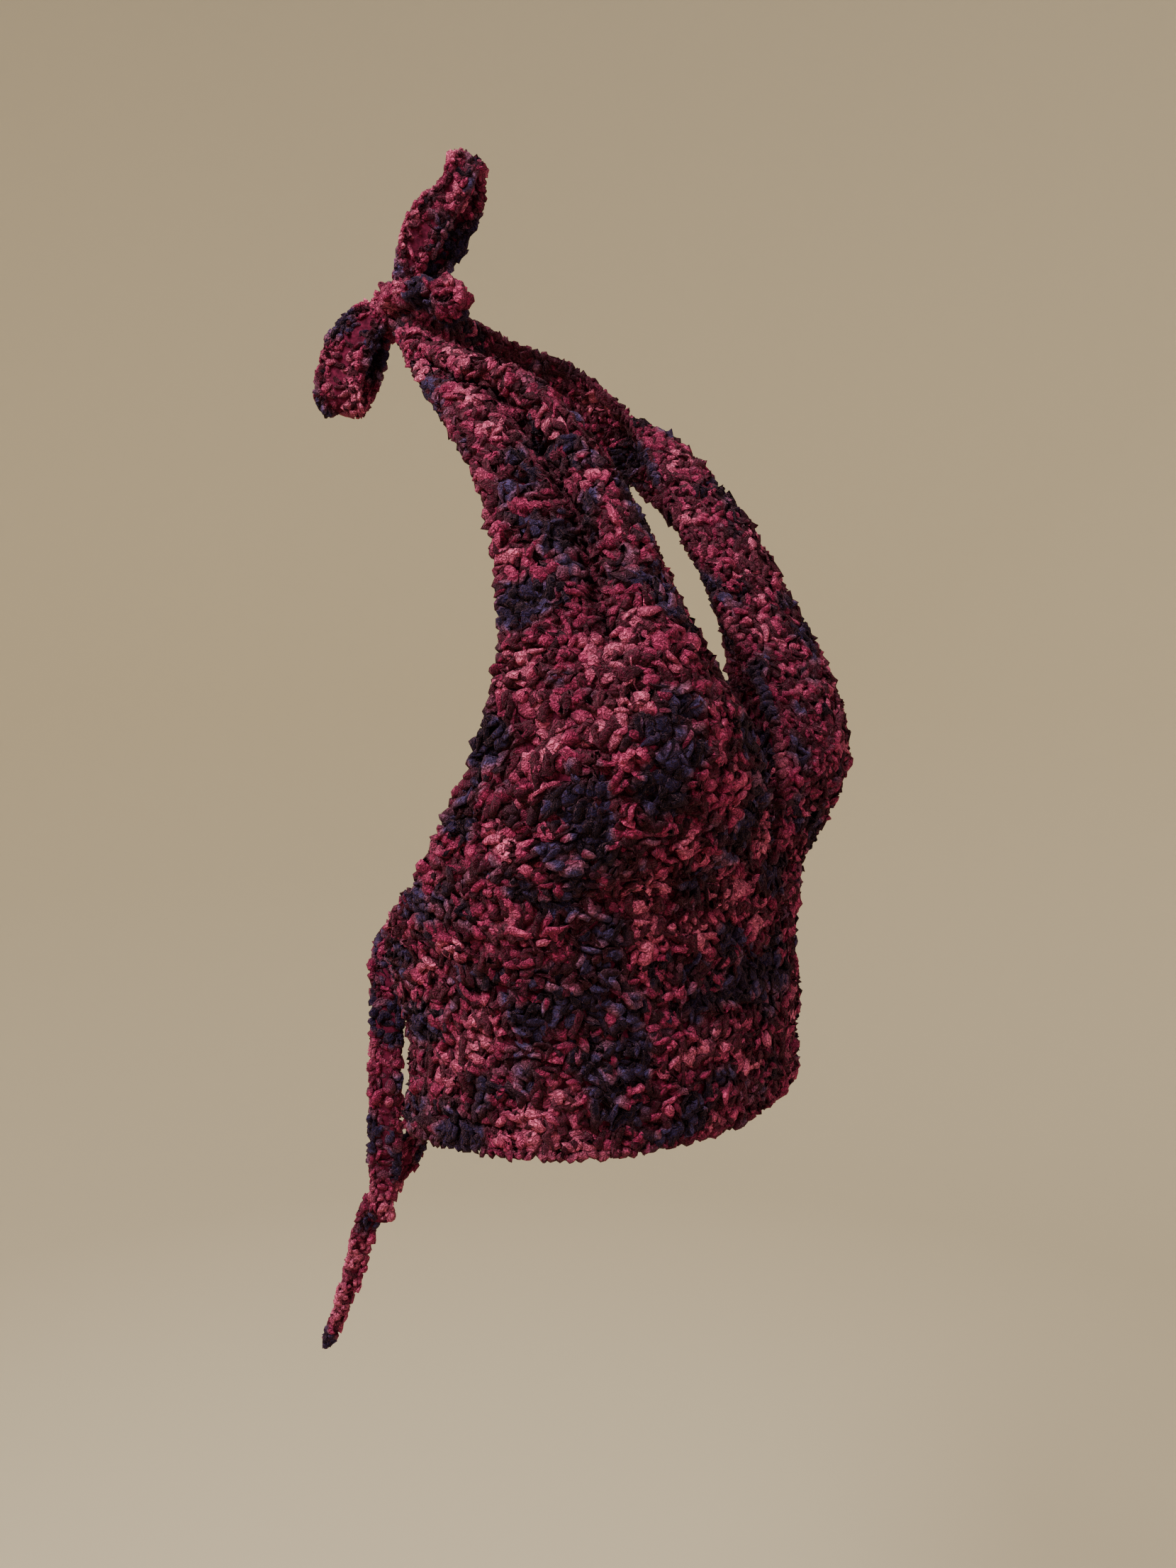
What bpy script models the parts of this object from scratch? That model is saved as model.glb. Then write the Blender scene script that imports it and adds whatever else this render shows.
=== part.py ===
"""Crocheted halter top in the form it has when worn, in metres.

The front faces -Y, the wearer's left is +X and +Z is up. The origin is on the nape of the neck,
at the inner face of the strap that holds the top up. The body band is open at the back, the two
front panels run on into neck straps, and both pairs of ties are knotted.
"""
import bpy
import bmesh
import numpy as np

# Cloth
WALL = 0.005            # one layer of chenille crochet
CLEARANCE = 0.0003      # left between pieces that are sewn or tied together
YARN_COLOUR = (0.13, 0.022, 0.042, 1.0)
YARN_ROUGHNESS = 0.85

# Body band: half its width, and its depth before and behind its centre, at each height
BAND_CENTRE_Y = -0.115
BAND_SECTIONS = [
    # z, half_width, front_depth, back_depth
    (-0.462, 0.1300, 0.0935, 0.0985),
    (-0.448, 0.1290, 0.0940, 0.0980),
    (-0.416, 0.1270, 0.0960, 0.0940),
    (-0.391, 0.1280, 0.0950, 0.1010),
    (-0.356, 0.1310, 0.0905, 0.1120),
    (-0.336, 0.1350, 0.0920, 0.1170),
    (-0.320, 0.1374, 0.0938, 0.1185),
    (-0.306, 0.1374, 0.0938, 0.1185),
]
BAND_EDGES = [
    # degrees round from the centre front, top_z, hem_z
    (0, -0.3100, -0.4380),
    (60, -0.3150, -0.4390),
    (95, -0.3150, -0.4415),
    (104, -0.3160, -0.4430),
    (112, -0.3275, -0.4450),
    (120, -0.3380, -0.4475),
    (132, -0.3460, -0.4510),
    (156, -0.3520, -0.4540),
]
BAND_TOP_END = 156.0    # degrees from the centre front to the open back edge
BAND_HEM_END = 150.0
FRONT_SQUARENESS = 2.05     # exponent of the section's curve; 2 is an ellipse
BACK_SQUARENESS = 2.5
BAND_FOLDS = [
    # middle_turn, half_turn, z, half_height, depth
    (-118, 46, -0.398, 0.011, 0.0030),
    (-52, 34, -0.377, 0.010, 0.0022),
    (22, 40, -0.413, 0.010, 0.0024),
    (84, 36, -0.384, 0.011, 0.0024),
    (126, 34, -0.411, 0.011, 0.0028),
]
BAND_COLUMNS = 52
BAND_ROWS = 8

# Front panels: the left one from the band up to the side of the neck, and the right one mirrors it
SEAM_START = 1.5        # degrees on the band's top edge
SEAM_END = 104.0
SEAM_BLEND = 0.12       # share of the panel's length that eases from the seam into its rows
SEAM_ALLOWANCE = 0.002  # of a panel that reaches past the seam and is trimmed along it
TRIM_WALL = 0.008       # thickness of the band that trims the panels, both ways past the real wall
TRIM_OFFSET = -0.7
PANEL_ROWS = [
    # inner edge x, y, z, then the crown's, then the outer edge's
    ((0.0036, -0.2110, -0.3040), (0.0820, -0.1890, -0.3150), (0.1335, -0.0760, -0.3155)),
    ((0.0085, -0.2110, -0.2800), (0.0900, -0.2060, -0.2820), (0.1340, -0.0930, -0.2850)),
    ((0.0100, -0.2095, -0.2580), (0.0920, -0.2160, -0.2520), (0.1315, -0.1050, -0.2620)),
    ((0.0170, -0.2010, -0.2320), (0.0900, -0.2135, -0.2270), (0.1285, -0.1190, -0.2250)),
    ((0.0280, -0.1820, -0.2020), (0.0870, -0.2035, -0.2000), (0.1250, -0.1225, -0.1990)),
    ((0.0350, -0.1570, -0.1640), (0.0830, -0.1825, -0.1610), (0.1200, -0.1195, -0.1730)),
    ((0.0380, -0.1360, -0.1280), (0.0790, -0.1625, -0.1240), (0.1130, -0.1080, -0.1350)),
    ((0.0455, -0.1150, -0.0970), (0.0765, -0.1380, -0.0920), (0.1050, -0.0890, -0.1030)),
    ((0.0570, -0.0945, -0.0660), (0.0785, -0.1070, -0.0600), (0.0940, -0.0630, -0.0760)),
]
RIGHT_STRAP_ROWS = [
    ((-0.0700, -0.0720, -0.0420), (-0.0790, -0.0620, -0.0420), (-0.0820, -0.0420, -0.0560)),
    ((-0.0660, -0.0370, -0.0260), (-0.0710, -0.0290, -0.0265), (-0.0700, -0.0180, -0.0330)),
    ((-0.0590, -0.0130, -0.0105), (-0.0605, -0.0060, -0.0115), (-0.0570, 0.0010, -0.0150)),
    ((-0.0500, 0.0060, 0.0020), (-0.0508, 0.0100, 0.0000), (-0.0490, 0.0130, -0.0030)),
]
LEFT_STRAP_ROWS = [
    ((0.0690, -0.0720, -0.0360), (0.0790, -0.0600, -0.0360), (0.0815, -0.0420, -0.0500)),
    ((0.0660, -0.0390, -0.0080), (0.0720, -0.0310, -0.0150), (0.0730, -0.0240, -0.0260)),
    ((0.0490, -0.0100, 0.0050), (0.0535, -0.0040, -0.0050), (0.0550, 0.0000, -0.0160)),
    ((0.0260, 0.0020, 0.0110), (0.0280, 0.0055, 0.0010), (0.0290, 0.0080, -0.0090)),
    ((0.0000, 0.0035, 0.0115), (0.0000, 0.0060, 0.0015), (0.0000, 0.0080, -0.0080)),
    ((-0.0240, 0.0045, 0.0085), (-0.0250, 0.0075, 0.0005), (-0.0250, 0.0095, -0.0075)),
    ((-0.0430, 0.0085, 0.0055), (-0.0440, 0.0110, 0.0010), (-0.0450, 0.0125, -0.0035)),
]
GROOVE_ACROSS = 0.70        # share of the width, from the inner edge, where the strap is creased
GROOVE_HALF_WIDTH = 0.17
GROOVE_DEPTH = {-1: 0.0042, 1: 0.0018}     # right panel, left panel
GROOVE_FOOT = (-0.225, -0.150)      # z where the crease starts and where it has its full depth
GROOVE_HEAD = (-0.075, -0.040)      # z where it starts to fade again and where it is gone
PANEL_COLUMNS = 11
PANEL_ROW_STEP = 0.0140     # length of a panel's faces

# Bow behind the neck, right of the centre back. Each loop is a ribbon that runs out along its first
# layer and comes back along a second one behind it.
NECK_KNOT = (-0.0475, 0.0100, 0.0030)
NECK_KNOT_RADII = (0.0135, 0.0130, 0.0165)
BEHIND = (0.84, 0.54, 0.0)      # from a loop's first layer towards its second
UPPER_LOOP_ACROSS = (0.53, -0.72, -0.46)    # along the ribbon's width
UPPER_LOOP = [
    # x, y, z of the first layer, its width, second layer's width, distance behind, shift across
    (-0.0475, 0.0070, 0.0090, 0.0120, 0.0110, 0.0080, 0.0000),
    (-0.0450, 0.0020, 0.0240, 0.0145, 0.0125, 0.0095, 0.0080),
    (-0.0446, -0.0083, 0.0420, 0.0240, 0.0160, 0.0120, 0.0135),
    (-0.0425, -0.0157, 0.0530, 0.0235, 0.0165, 0.0125, 0.0125),
    (-0.0365, -0.0268, 0.0670, 0.0180, 0.0165, 0.0120, 0.0080),
    (-0.0340, -0.0310, 0.0800, 0.0175, 0.0170, 0.0110, 0.0030),
]
LOWER_LOOP_ACROSS = (0.52, -0.85, -0.08)
LOWER_LOOP = [
    (-0.0500, 0.0110, 0.0030, 0.0130, 0.0120, 0.0085, 0.0010),
    (-0.0596, 0.0190, -0.0047, 0.0240, 0.0190, 0.0110, 0.0030),
    (-0.0668, 0.0244, -0.0167, 0.0275, 0.0250, 0.0125, 0.0055),
    (-0.0711, 0.0278, -0.0292, 0.0275, 0.0265, 0.0125, 0.0060),
    (-0.0732, 0.0293, -0.0400, 0.0270, 0.0260, 0.0130, 0.0045),
    (-0.0740, 0.0295, -0.0480, 0.0265, 0.0260, 0.0130, 0.0025),
]
LOOP_THICKNESS = 0.0068
CURL_ACROSS = (0.837, 0.543, -0.066)        # along the width of the ribbon that is rolled up
CURL_UP = (0.055, 0.036, 0.998)
CURL_CENTRE = (-0.0710, -0.0491, -0.0096)
CURL_RADIUS = 0.0076
CURL_TURN = 280.0           # degrees that the end is rolled through
CURL_START = 120.0          # degrees where the lead-in meets the roll
CURL_TIGHTEN = 0.18         # share of the radius lost by the end
CURL_WIDTH = 0.0155
CURL_THICKNESS = 0.0090
CURL_LEAD = [
    # x, y, z, width, thickness
    (-0.0500, 0.0080, 0.0040, 0.0120, 0.0090),
    (-0.0570, 0.0019, 0.0032, 0.0140, 0.0125),
    (-0.0663, -0.0169, 0.0004, 0.0155, 0.0140),
    (-0.0712, -0.0295, -0.0015, 0.0155, 0.0125),
]

# Tie behind the back
BACK_KNOT = (-0.0300, 0.0120, -0.3580)
BACK_KNOT_RADII = (0.0150, 0.0110, 0.0135)
TIE_HEIGHT_ON_BAND = 0.022      # of the band's back edge that runs on into the tie
TIE_DIRECTION_STEP = 0.01   # share of the band's length over which its back edge's direction is read
TIE_ROOT_LENGTH = 0.004     # over which a tie keeps its shape beside the band
TIE_ROOT_WIDTH = 0.85       # share of that height
TIE_ROOT_THICKNESS = 0.9    # share of the cloth's thickness
TIE_RIGHT_ROUTE = [
    # x, y, z, width, thickness
    (-0.0520, -0.0055, -0.3605, 0.0180, 0.0055),
    (-0.0430, 0.0035, -0.3590, 0.0150, 0.0062),
    (-0.0360, 0.0100, -0.3580, 0.0120, 0.0068),
]
TIE_LEFT_ROUTE = [
    (0.0500, -0.0060, -0.3610, 0.0180, 0.0055),
    (0.0330, 0.0010, -0.3612, 0.0165, 0.0062),
    (0.0130, 0.0070, -0.3608, 0.0150, 0.0065),
    (-0.0080, 0.0102, -0.3600, 0.0135, 0.0068),
    (-0.0220, 0.0118, -0.3585, 0.0120, 0.0068),
]
UPRIGHT = (0.0, 0.0, 1.0)
NEAR_END_ACROSS = (0.545, -0.839, 0.0)
NEAR_END_ROUTE = [
    (-0.0340, 0.0150, -0.3590, 0.0110, 0.0075),
    (-0.0435, 0.0200, -0.3640, 0.0130, 0.0080),
    (-0.0535, 0.0165, -0.3790, 0.0170, 0.0085),
    (-0.0575, 0.0115, -0.4050, 0.0190, 0.0085),
    (-0.0607, 0.0096, -0.4400, 0.0195, 0.0085),
    (-0.0618, 0.0092, -0.4720, 0.0195, 0.0085),
    (-0.0617, 0.0105, -0.5000, 0.0180, 0.0085),
    (-0.0622, 0.0140, -0.5340, 0.0140, 0.0080),
]
FAR_END_ACROSS = (0.700, -0.500, 0.0)
FAR_END_ROUTE = [
    (-0.0270, 0.0130, -0.3620, 0.0110, 0.0075),
    (-0.0250, 0.0120, -0.3740, 0.0140, 0.0080),
    (-0.0245, 0.0070, -0.4060, 0.0160, 0.0085),
    (-0.0290, 0.0030, -0.4500, 0.0160, 0.0085),
    (-0.0400, 0.0030, -0.4850, 0.0160, 0.0085),
    (-0.0478, 0.0157, -0.5120, 0.0160, 0.0085),
    (-0.0545, 0.0320, -0.5410, 0.0150, 0.0085),
    (-0.0560, 0.0420, -0.5740, 0.0125, 0.0080),
    (-0.0580, 0.0530, -0.6040, 0.0095, 0.0075),
    (-0.0607, 0.0635, -0.6300, 0.0060, 0.0060),
]
RIBBON_SIDES = 8
RIBBON_STEP = 0.0080
LOOP_STEP = 0.0047          # finer, because a loop turns sharply at its tip
RIBBON_SQUARENESS = 3.0
END_ROUNDING = 0.006        # length over which a free end is rounded off
END_WIDTH = 0.45            # share of the width left at its very tip
KNOT_LUMP = 0.07            # share of the radius that a knot's wraps stand out
KNOT_WRAPS = 3.0
KNOT_TWIST = 2.5            # radians that the wraps turn from the knot's middle to its top
KNOT_SEGMENTS = (20, 12)
SHARE_STEP = 0.002          # over which a surface's directions are read
EDGE_SAMPLES = 120          # along the seam
ROUTE_SAMPLES = 400
CURL_POINTS = 10


def smooth_table(table, at):
    """Reads a table whose first column is the key, along a smooth curve through its rows."""
    table = np.asarray(table, float)
    keys, rows = table[:, 0], table[:, 1:]
    at = np.clip(np.asarray(at, float), keys[0], keys[-1])
    low = np.clip(np.searchsorted(keys, at, side="right") - 1, 0, len(keys) - 2)
    slope = np.gradient(rows, keys, axis=0)
    length = (keys[low + 1] - keys[low])[:, None]
    t = (at - keys[low])[:, None] / length
    return ((2 * t**3 - 3 * t**2 + 1) * rows[low] + (t**3 - 2 * t**2 + t) * slope[low] * length
            + (3 * t**2 - 2 * t**3) * rows[low + 1] + (t**3 - t**2) * slope[low + 1] * length)


def ease(x):
    """0 below 0, 1 above 1, smooth between."""
    x = np.clip(x, 0.0, 1.0)
    return x * x * (3.0 - 2.0 * x)


def unit(vectors):
    vectors = np.asarray(vectors, float)
    return vectors / np.linalg.norm(vectors, axis=-1, keepdims=True)


def travelled(points):
    """Distance from the first point to each point, along straight steps."""
    steps = np.linalg.norm(np.diff(points, axis=0), axis=1)
    return np.concatenate([[0.0], np.cumsum(steps)])


def band_point(turn, z):
    """A point of the band's outer face, turn degrees round from the centre front."""
    half_width, front_depth, back_depth = smooth_table(BAND_SECTIONS, z).T
    angle = np.radians(turn)
    power = 2.0 / np.where(np.abs(turn) < 90, FRONT_SQUARENESS, BACK_SQUARENESS)
    depth = np.where(np.abs(turn) < 90, front_depth, back_depth)
    x = half_width * np.sign(np.sin(angle)) * np.abs(np.sin(angle)) ** power
    y = -depth * np.sign(np.cos(angle)) * np.abs(np.cos(angle)) ** power
    pressed = np.ones_like(x)
    for middle, half_turn, height, half_height, fold in BAND_FOLDS:
        along = ease(1.0 - np.abs(turn - middle) / half_turn)
        pressed -= fold / half_width * along * np.exp(-((z - height) / half_height) ** 2)
    return np.stack([x * pressed, BAND_CENTRE_Y + y * pressed, z], axis=-1)


def band_surface(u, v, raised=0.0):
    """u runs from the right back edge round the front to the left one, v from hem to top."""
    turn = (2.0 * u - 1.0) * (BAND_HEM_END + (BAND_TOP_END - BAND_HEM_END) * v)
    top, hem = smooth_table(BAND_EDGES, np.abs(turn)).T
    points = band_point(turn, hem + (top - hem) * v)
    points[:, 2] += raised
    return points


def seam_points(s):
    """The band's top edge from the centre front to the armhole, evenly spaced in length."""
    turns = np.linspace(SEAM_START, SEAM_END, EDGE_SAMPLES)
    edge = band_point(turns, smooth_table(BAND_EDGES, turns)[:, 0])
    lengths = travelled(edge)
    turn = np.interp(s, lengths / lengths[-1], turns)
    points = band_point(turn, smooth_table(BAND_EDGES, turn)[:, 0])
    points[:, 2] -= SEAM_ALLOWANCE
    return points


def panel_surface(side, strap_rows):
    """The outer face of a front panel: s runs from inner to outer edge, t from seam to knot."""
    mirror = np.array([side, 1.0, 1.0])
    rows = np.array([np.array(row) * mirror for row in PANEL_ROWS] + [np.array(r) for r in strap_rows])
    lengths = travelled(rows[:, 1])
    table = np.column_stack([lengths / lengths[-1], rows.reshape(len(rows), 9)])

    def plain(s, t):
        inner, crown, outer = np.split(smooth_table(table, t), 3, axis=1)
        to_crown = np.linalg.norm(crown - inner, axis=1)
        k = (to_crown / (to_crown + np.linalg.norm(outer - crown, axis=1)))[:, None]
        s = s[:, None]
        return (inner * (s - k) * (s - 1) / k + crown * s * (s - 1) / (k * (k - 1))
                + outer * s * (s - k) / (1 - k))

    def creased(s, t):
        points = plain(s, t)
        step = SHARE_STEP
        along_s = plain(s + step, t) - plain(s - step, t)
        along_t = plain(s, np.minimum(t + step, 1.0)) - plain(s, np.maximum(t - step, 0.0))
        outward = unit(np.cross(along_s, along_t)) * side
        height = points[:, 2]
        high = ease((height - GROOVE_FOOT[0]) / (GROOVE_FOOT[1] - GROOVE_FOOT[0]))
        high *= ease((GROOVE_HEAD[1] - height) / (GROOVE_HEAD[1] - GROOVE_HEAD[0]))
        across = np.exp(-((s - GROOVE_ACROSS) / GROOVE_HALF_WIDTH) ** 2)
        return points - outward * (GROOVE_DEPTH[side] * high * across)[:, None]

    def surface(s, t):
        seam = seam_points(s) * mirror
        start = creased(s, np.zeros_like(s))
        weight = 1.0 - ease(t / SEAM_BLEND)
        return creased(s, t) + weight[:, None] * (seam - start)

    return surface, lengths[-1]


def ribbon_surface(route, across, free_end):
    """A flat tube along the route: u runs round it, v along it."""
    route = np.asarray(route, float)
    lengths = travelled(route[:, :3])
    table = np.column_stack([lengths, route])
    fine = np.linspace(0.0, lengths[-1], ROUTE_SAMPLES)
    along = unit(np.gradient(smooth_table(table, fine)[:, :3], fine, axis=0))

    def surface(u, v):
        at = v * lengths[-1]
        read = smooth_table(table, at)
        tangent = unit(np.stack([np.interp(at, fine, along[:, k]) for k in range(3)], axis=1))
        width_way = np.asarray(across, float)
        width_way = unit(width_way - tangent * (tangent @ width_way)[:, None])
        thickness_way = np.cross(tangent, width_way)
        angle = 2.0 * np.pi * u
        power = 2.0 / RIBBON_SQUARENESS
        wide = np.sign(np.cos(angle)) * np.abs(np.cos(angle)) ** power
        thick = np.sign(np.sin(angle)) * np.abs(np.sin(angle)) ** power
        near_tip = np.clip((at - lengths[-1]) / END_ROUNDING + 1.0, 0.0, 1.0) * free_end
        size = END_WIDTH + (1.0 - END_WIDTH) * np.sqrt(1.0 - near_tip**2)
        return (read[:, :3] + width_way * (wide * size * read[:, 3] / 2)[:, None]
                + thickness_way * (thick * size * read[:, 4] / 2)[:, None])

    return surface, lengths[-1]


def loop_route(rows, across):
    """The route of a ribbon that runs out to a bow loop's tip and back behind itself."""
    rows = np.array(rows)
    first = rows[:, :3]
    along = unit(np.gradient(first, travelled(first), axis=0))
    across = np.array(across) - along * (along @ np.array(across))[:, None]
    across = unit(across)
    behind = np.cross(along, across)
    behind *= np.sign(behind @ np.array(BEHIND))[:, None]
    second = first + behind * rows[:, 5:6] + across * rows[:, 6:7]
    turn = (first[-1] + second[-1]) / 2 + along[-1] * rows[-1, 5] / 2
    out = [(*point, row[3], LOOP_THICKNESS) for point, row in zip(first, rows)]
    back = [(*point, row[4], LOOP_THICKNESS) for point, row in zip(second, rows)]
    return out + [(*turn, rows[-1, 3], LOOP_THICKNESS)] + back[::-1]


def curl_route():
    """The curled tail: its lead-in, then a roll that tightens towards the end."""
    right = unit(np.cross(CURL_ACROSS, CURL_UP))
    up = unit(CURL_UP)
    route = list(CURL_LEAD)
    for share in np.linspace(0.0, 1.0, CURL_POINTS):
        angle = np.radians(CURL_START - CURL_TURN * share)
        radius = CURL_RADIUS * (1.0 - CURL_TIGHTEN * share)
        point = np.array(CURL_CENTRE) + radius * (right * np.cos(angle) + up * np.sin(angle))
        route.append((*point, CURL_WIDTH, CURL_THICKNESS))
    return route


def tie_route(corner_side, route):
    """The route of a tie that goes on from the band's back edge, at its top corner."""
    u = np.full(2, 0.5 + 0.5 * corner_side)
    before = u - TIE_DIRECTION_STEP * corner_side
    height = BAND_EDGES[0][1] - BAND_EDGES[0][2]
    v = np.array([1.0, 1.0 - TIE_HEIGHT_ON_BAND / height])
    edge = band_surface(u, v)
    onward = unit((edge - band_surface(before, v)).mean(axis=0) * np.array([1.0, 1.0, 0.0]))
    inward = np.cross(UPRIGHT, onward) * corner_side
    start = edge.mean(axis=0) + inward * WALL / 2
    lean = np.abs((edge - edge.mean(axis=0)) @ onward).max()
    rows = []
    for distance in (lean + CLEARANCE, lean + TIE_ROOT_LENGTH):
        rows.append((*(start + onward * distance), TIE_HEIGHT_ON_BAND * TIE_ROOT_WIDTH,
                     WALL * TIE_ROOT_THICKNESS))
    return rows + list(route)


def new_object(name, mesh, collection, material):
    mesh.shade_smooth()
    built = bpy.data.objects.new(name, mesh)
    collection.objects.link(built)
    if material:
        built.data.materials.append(material)
    return built


def shaped_grid(surface, columns, rows, closed=False, flip=False):
    """A net of quads on surface(u, v), u and v from 0 to 1; a closed one is joined and capped."""
    net = bmesh.new()
    bmesh.ops.create_grid(net, x_segments=columns, y_segments=rows, size=0.5)
    flat = np.array([vert.co[:2] for vert in net.verts]) + 0.5
    for vert, point in zip(net.verts, surface(flat[:, 0], flat[:, 1])):
        vert.co = point
    if closed:
        bmesh.ops.remove_doubles(net, verts=net.verts, dist=1e-6)
        bmesh.ops.holes_fill(net, edges=net.edges, sides=0)
        bmesh.ops.recalc_face_normals(net, faces=net.faces)
    if flip:
        bmesh.ops.reverse_faces(net, faces=net.faces)
    mesh = bpy.data.meshes.new("net")
    net.to_mesh(mesh)
    net.free()
    return mesh


def knot_mesh(centre, radii, grown=0.0):
    """A lumpy ball, with the wrap of a knot round its middle."""
    ball = bmesh.new()
    bmesh.ops.create_uvsphere(ball, u_segments=KNOT_SEGMENTS[0], v_segments=KNOT_SEGMENTS[1], radius=1.0)
    for vert in ball.verts:
        way = np.array(vert.co)
        azimuth = np.arctan2(way[1], way[0])
        lumps = 1.0 + KNOT_LUMP * np.cos(KNOT_WRAPS * azimuth + KNOT_TWIST * way[2]) * (1.0 - way[2] ** 2)
        vert.co = np.array(centre) + way * (np.array(radii) * lumps + grown)
    mesh = bpy.data.meshes.new("knot")
    ball.to_mesh(mesh)
    ball.free()
    return mesh


def wall(sheet, thickness=WALL, offset=-1.0):
    """Gives an open sheet the cloth's thickness, on its inner side."""
    solidify = sheet.modifiers.new("wall", "SOLIDIFY")
    solidify.thickness = thickness
    solidify.offset = offset
    solidify.use_even_offset = True


def cut(piece, cutter):
    """Ends a piece where it meets another."""
    difference = piece.modifiers.new("end at " + cutter.name, "BOOLEAN")
    difference.operation = "DIFFERENCE"
    difference.object = cutter


def ribbon(name, route, across, collection, material, free_end=False, step=RIBBON_STEP):
    surface, length = ribbon_surface(route, across, free_end)
    rows = max(4, round(length / step))
    mesh = shaped_grid(surface, RIBBON_SIDES, rows, closed=True)
    return new_object(name, mesh, collection, material)


def yarn_material():
    material = bpy.data.materials.new("chenille_yarn")
    material.use_nodes = True
    shader = material.node_tree.nodes["Principled BSDF"]
    shader.inputs["Base Color"].default_value = YARN_COLOUR
    shader.inputs["Roughness"].default_value = YARN_ROUGHNESS
    shader.inputs["Metallic"].default_value = 0.0
    return material


def main():
    for old in list(bpy.data.objects):
        bpy.data.objects.remove(old, do_unlink=True)
    top = bpy.data.collections.new("halter_top")
    cutters = bpy.data.collections.new("cutters")
    bpy.context.scene.collection.children.link(top)
    bpy.context.scene.collection.children.link(cutters)
    yarn = yarn_material()

    def new_cutter(name, mesh):
        cutter = new_object(name, mesh, cutters, None)
        cutter.hide_render = True
        cutter.display_type = "WIRE"
        return cutter

    def knot(name, centre, radii):
        new_object(name, knot_mesh(centre, radii), top, yarn)
        return new_cutter(name + "_cutter", knot_mesh(centre, radii, CLEARANCE))

    neck_cutter = knot("neck_knot", NECK_KNOT, NECK_KNOT_RADII)
    back_cutter = knot("back_knot", BACK_KNOT, BACK_KNOT_RADII)

    band = new_object("body_band", shaped_grid(band_surface, BAND_COLUMNS, BAND_ROWS), top, yarn)
    wall(band)
    raised_band = shaped_grid(lambda u, v: band_surface(u, v, CLEARANCE), BAND_COLUMNS, BAND_ROWS)
    band_cutter = new_cutter("body_band_cutter", raised_band)
    wall(band_cutter, TRIM_WALL, TRIM_OFFSET)
    for name, side, strap_rows in (("right_front_panel", -1, RIGHT_STRAP_ROWS),
                                   ("left_front_panel", 1, LEFT_STRAP_ROWS)):
        surface, length = panel_surface(side, strap_rows)
        rows = round(length / PANEL_ROW_STEP)
        mesh = shaped_grid(surface, PANEL_COLUMNS, rows, flip=side < 0)
        panel = new_object(name, mesh, top, yarn)
        wall(panel)
        cut(panel, band_cutter)
        cut(panel, neck_cutter)

    upper = loop_route(UPPER_LOOP, UPPER_LOOP_ACROSS)
    lower = loop_route(LOWER_LOOP, LOWER_LOOP_ACROSS)
    cut(ribbon("neck_loop_upper", upper, UPPER_LOOP_ACROSS, top, yarn, step=LOOP_STEP), neck_cutter)
    cut(ribbon("neck_loop_lower", lower, LOWER_LOOP_ACROSS, top, yarn, step=LOOP_STEP), neck_cutter)
    cut(ribbon("neck_tail_curl", curl_route(), CURL_ACROSS, top, yarn, step=LOOP_STEP), neck_cutter)

    cut(ribbon("back_tie_right", tie_route(-1, TIE_RIGHT_ROUTE), UPRIGHT, top, yarn), back_cutter)
    cut(ribbon("back_tie_left", tie_route(1, TIE_LEFT_ROUTE), UPRIGHT, top, yarn), back_cutter)
    cut(ribbon("back_tie_end_near", NEAR_END_ROUTE, NEAR_END_ACROSS, top, yarn, free_end=True), back_cutter)
    cut(ribbon("back_tie_end_far", FAR_END_ROUTE, FAR_END_ACROSS, top, yarn, free_end=True), back_cutter)


main()
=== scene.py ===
"""Looks of the crocheted halter top: real strands of chenille yarn worked over each solid's form.

Every cloth piece is a thin ground shell on its solid's form, covered outside and inside by strands
that follow crochet stitches. Metres; the front faces -Y, the wearer's left is +X and +Z is up.
"""

import bpy
import bmesh
import numpy as np
from mathutils import Matrix, Vector


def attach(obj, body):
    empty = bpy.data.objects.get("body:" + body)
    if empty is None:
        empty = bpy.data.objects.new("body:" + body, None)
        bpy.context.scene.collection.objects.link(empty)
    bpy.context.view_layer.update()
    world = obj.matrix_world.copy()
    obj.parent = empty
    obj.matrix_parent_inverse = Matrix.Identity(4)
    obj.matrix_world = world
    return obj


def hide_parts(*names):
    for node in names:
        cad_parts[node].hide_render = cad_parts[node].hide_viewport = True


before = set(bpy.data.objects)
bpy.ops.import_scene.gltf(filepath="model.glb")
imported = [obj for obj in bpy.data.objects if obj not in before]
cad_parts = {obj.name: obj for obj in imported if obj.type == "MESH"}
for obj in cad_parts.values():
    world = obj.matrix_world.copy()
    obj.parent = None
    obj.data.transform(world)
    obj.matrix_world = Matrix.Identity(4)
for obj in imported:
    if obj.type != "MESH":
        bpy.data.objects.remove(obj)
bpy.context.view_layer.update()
MILLIMETRE = 0.001

# Camera, fitted to the photograph: it stands in front of the wearer's right side
CAMERA_PLACE = (-0.541, -0.445, -0.227)
CAMERA_TURN = 57.0      # degrees that it looks round from straight back (+Y) towards the left (+X)
CAMERA_PITCH = -3.8     # degrees up
CAMERA_ROLL = 0.2
IMAGE_SIZE = (1659, 2212)
FOCAL_PIXELS = 1572.5
SENSOR_HEIGHT = 36.0

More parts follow.
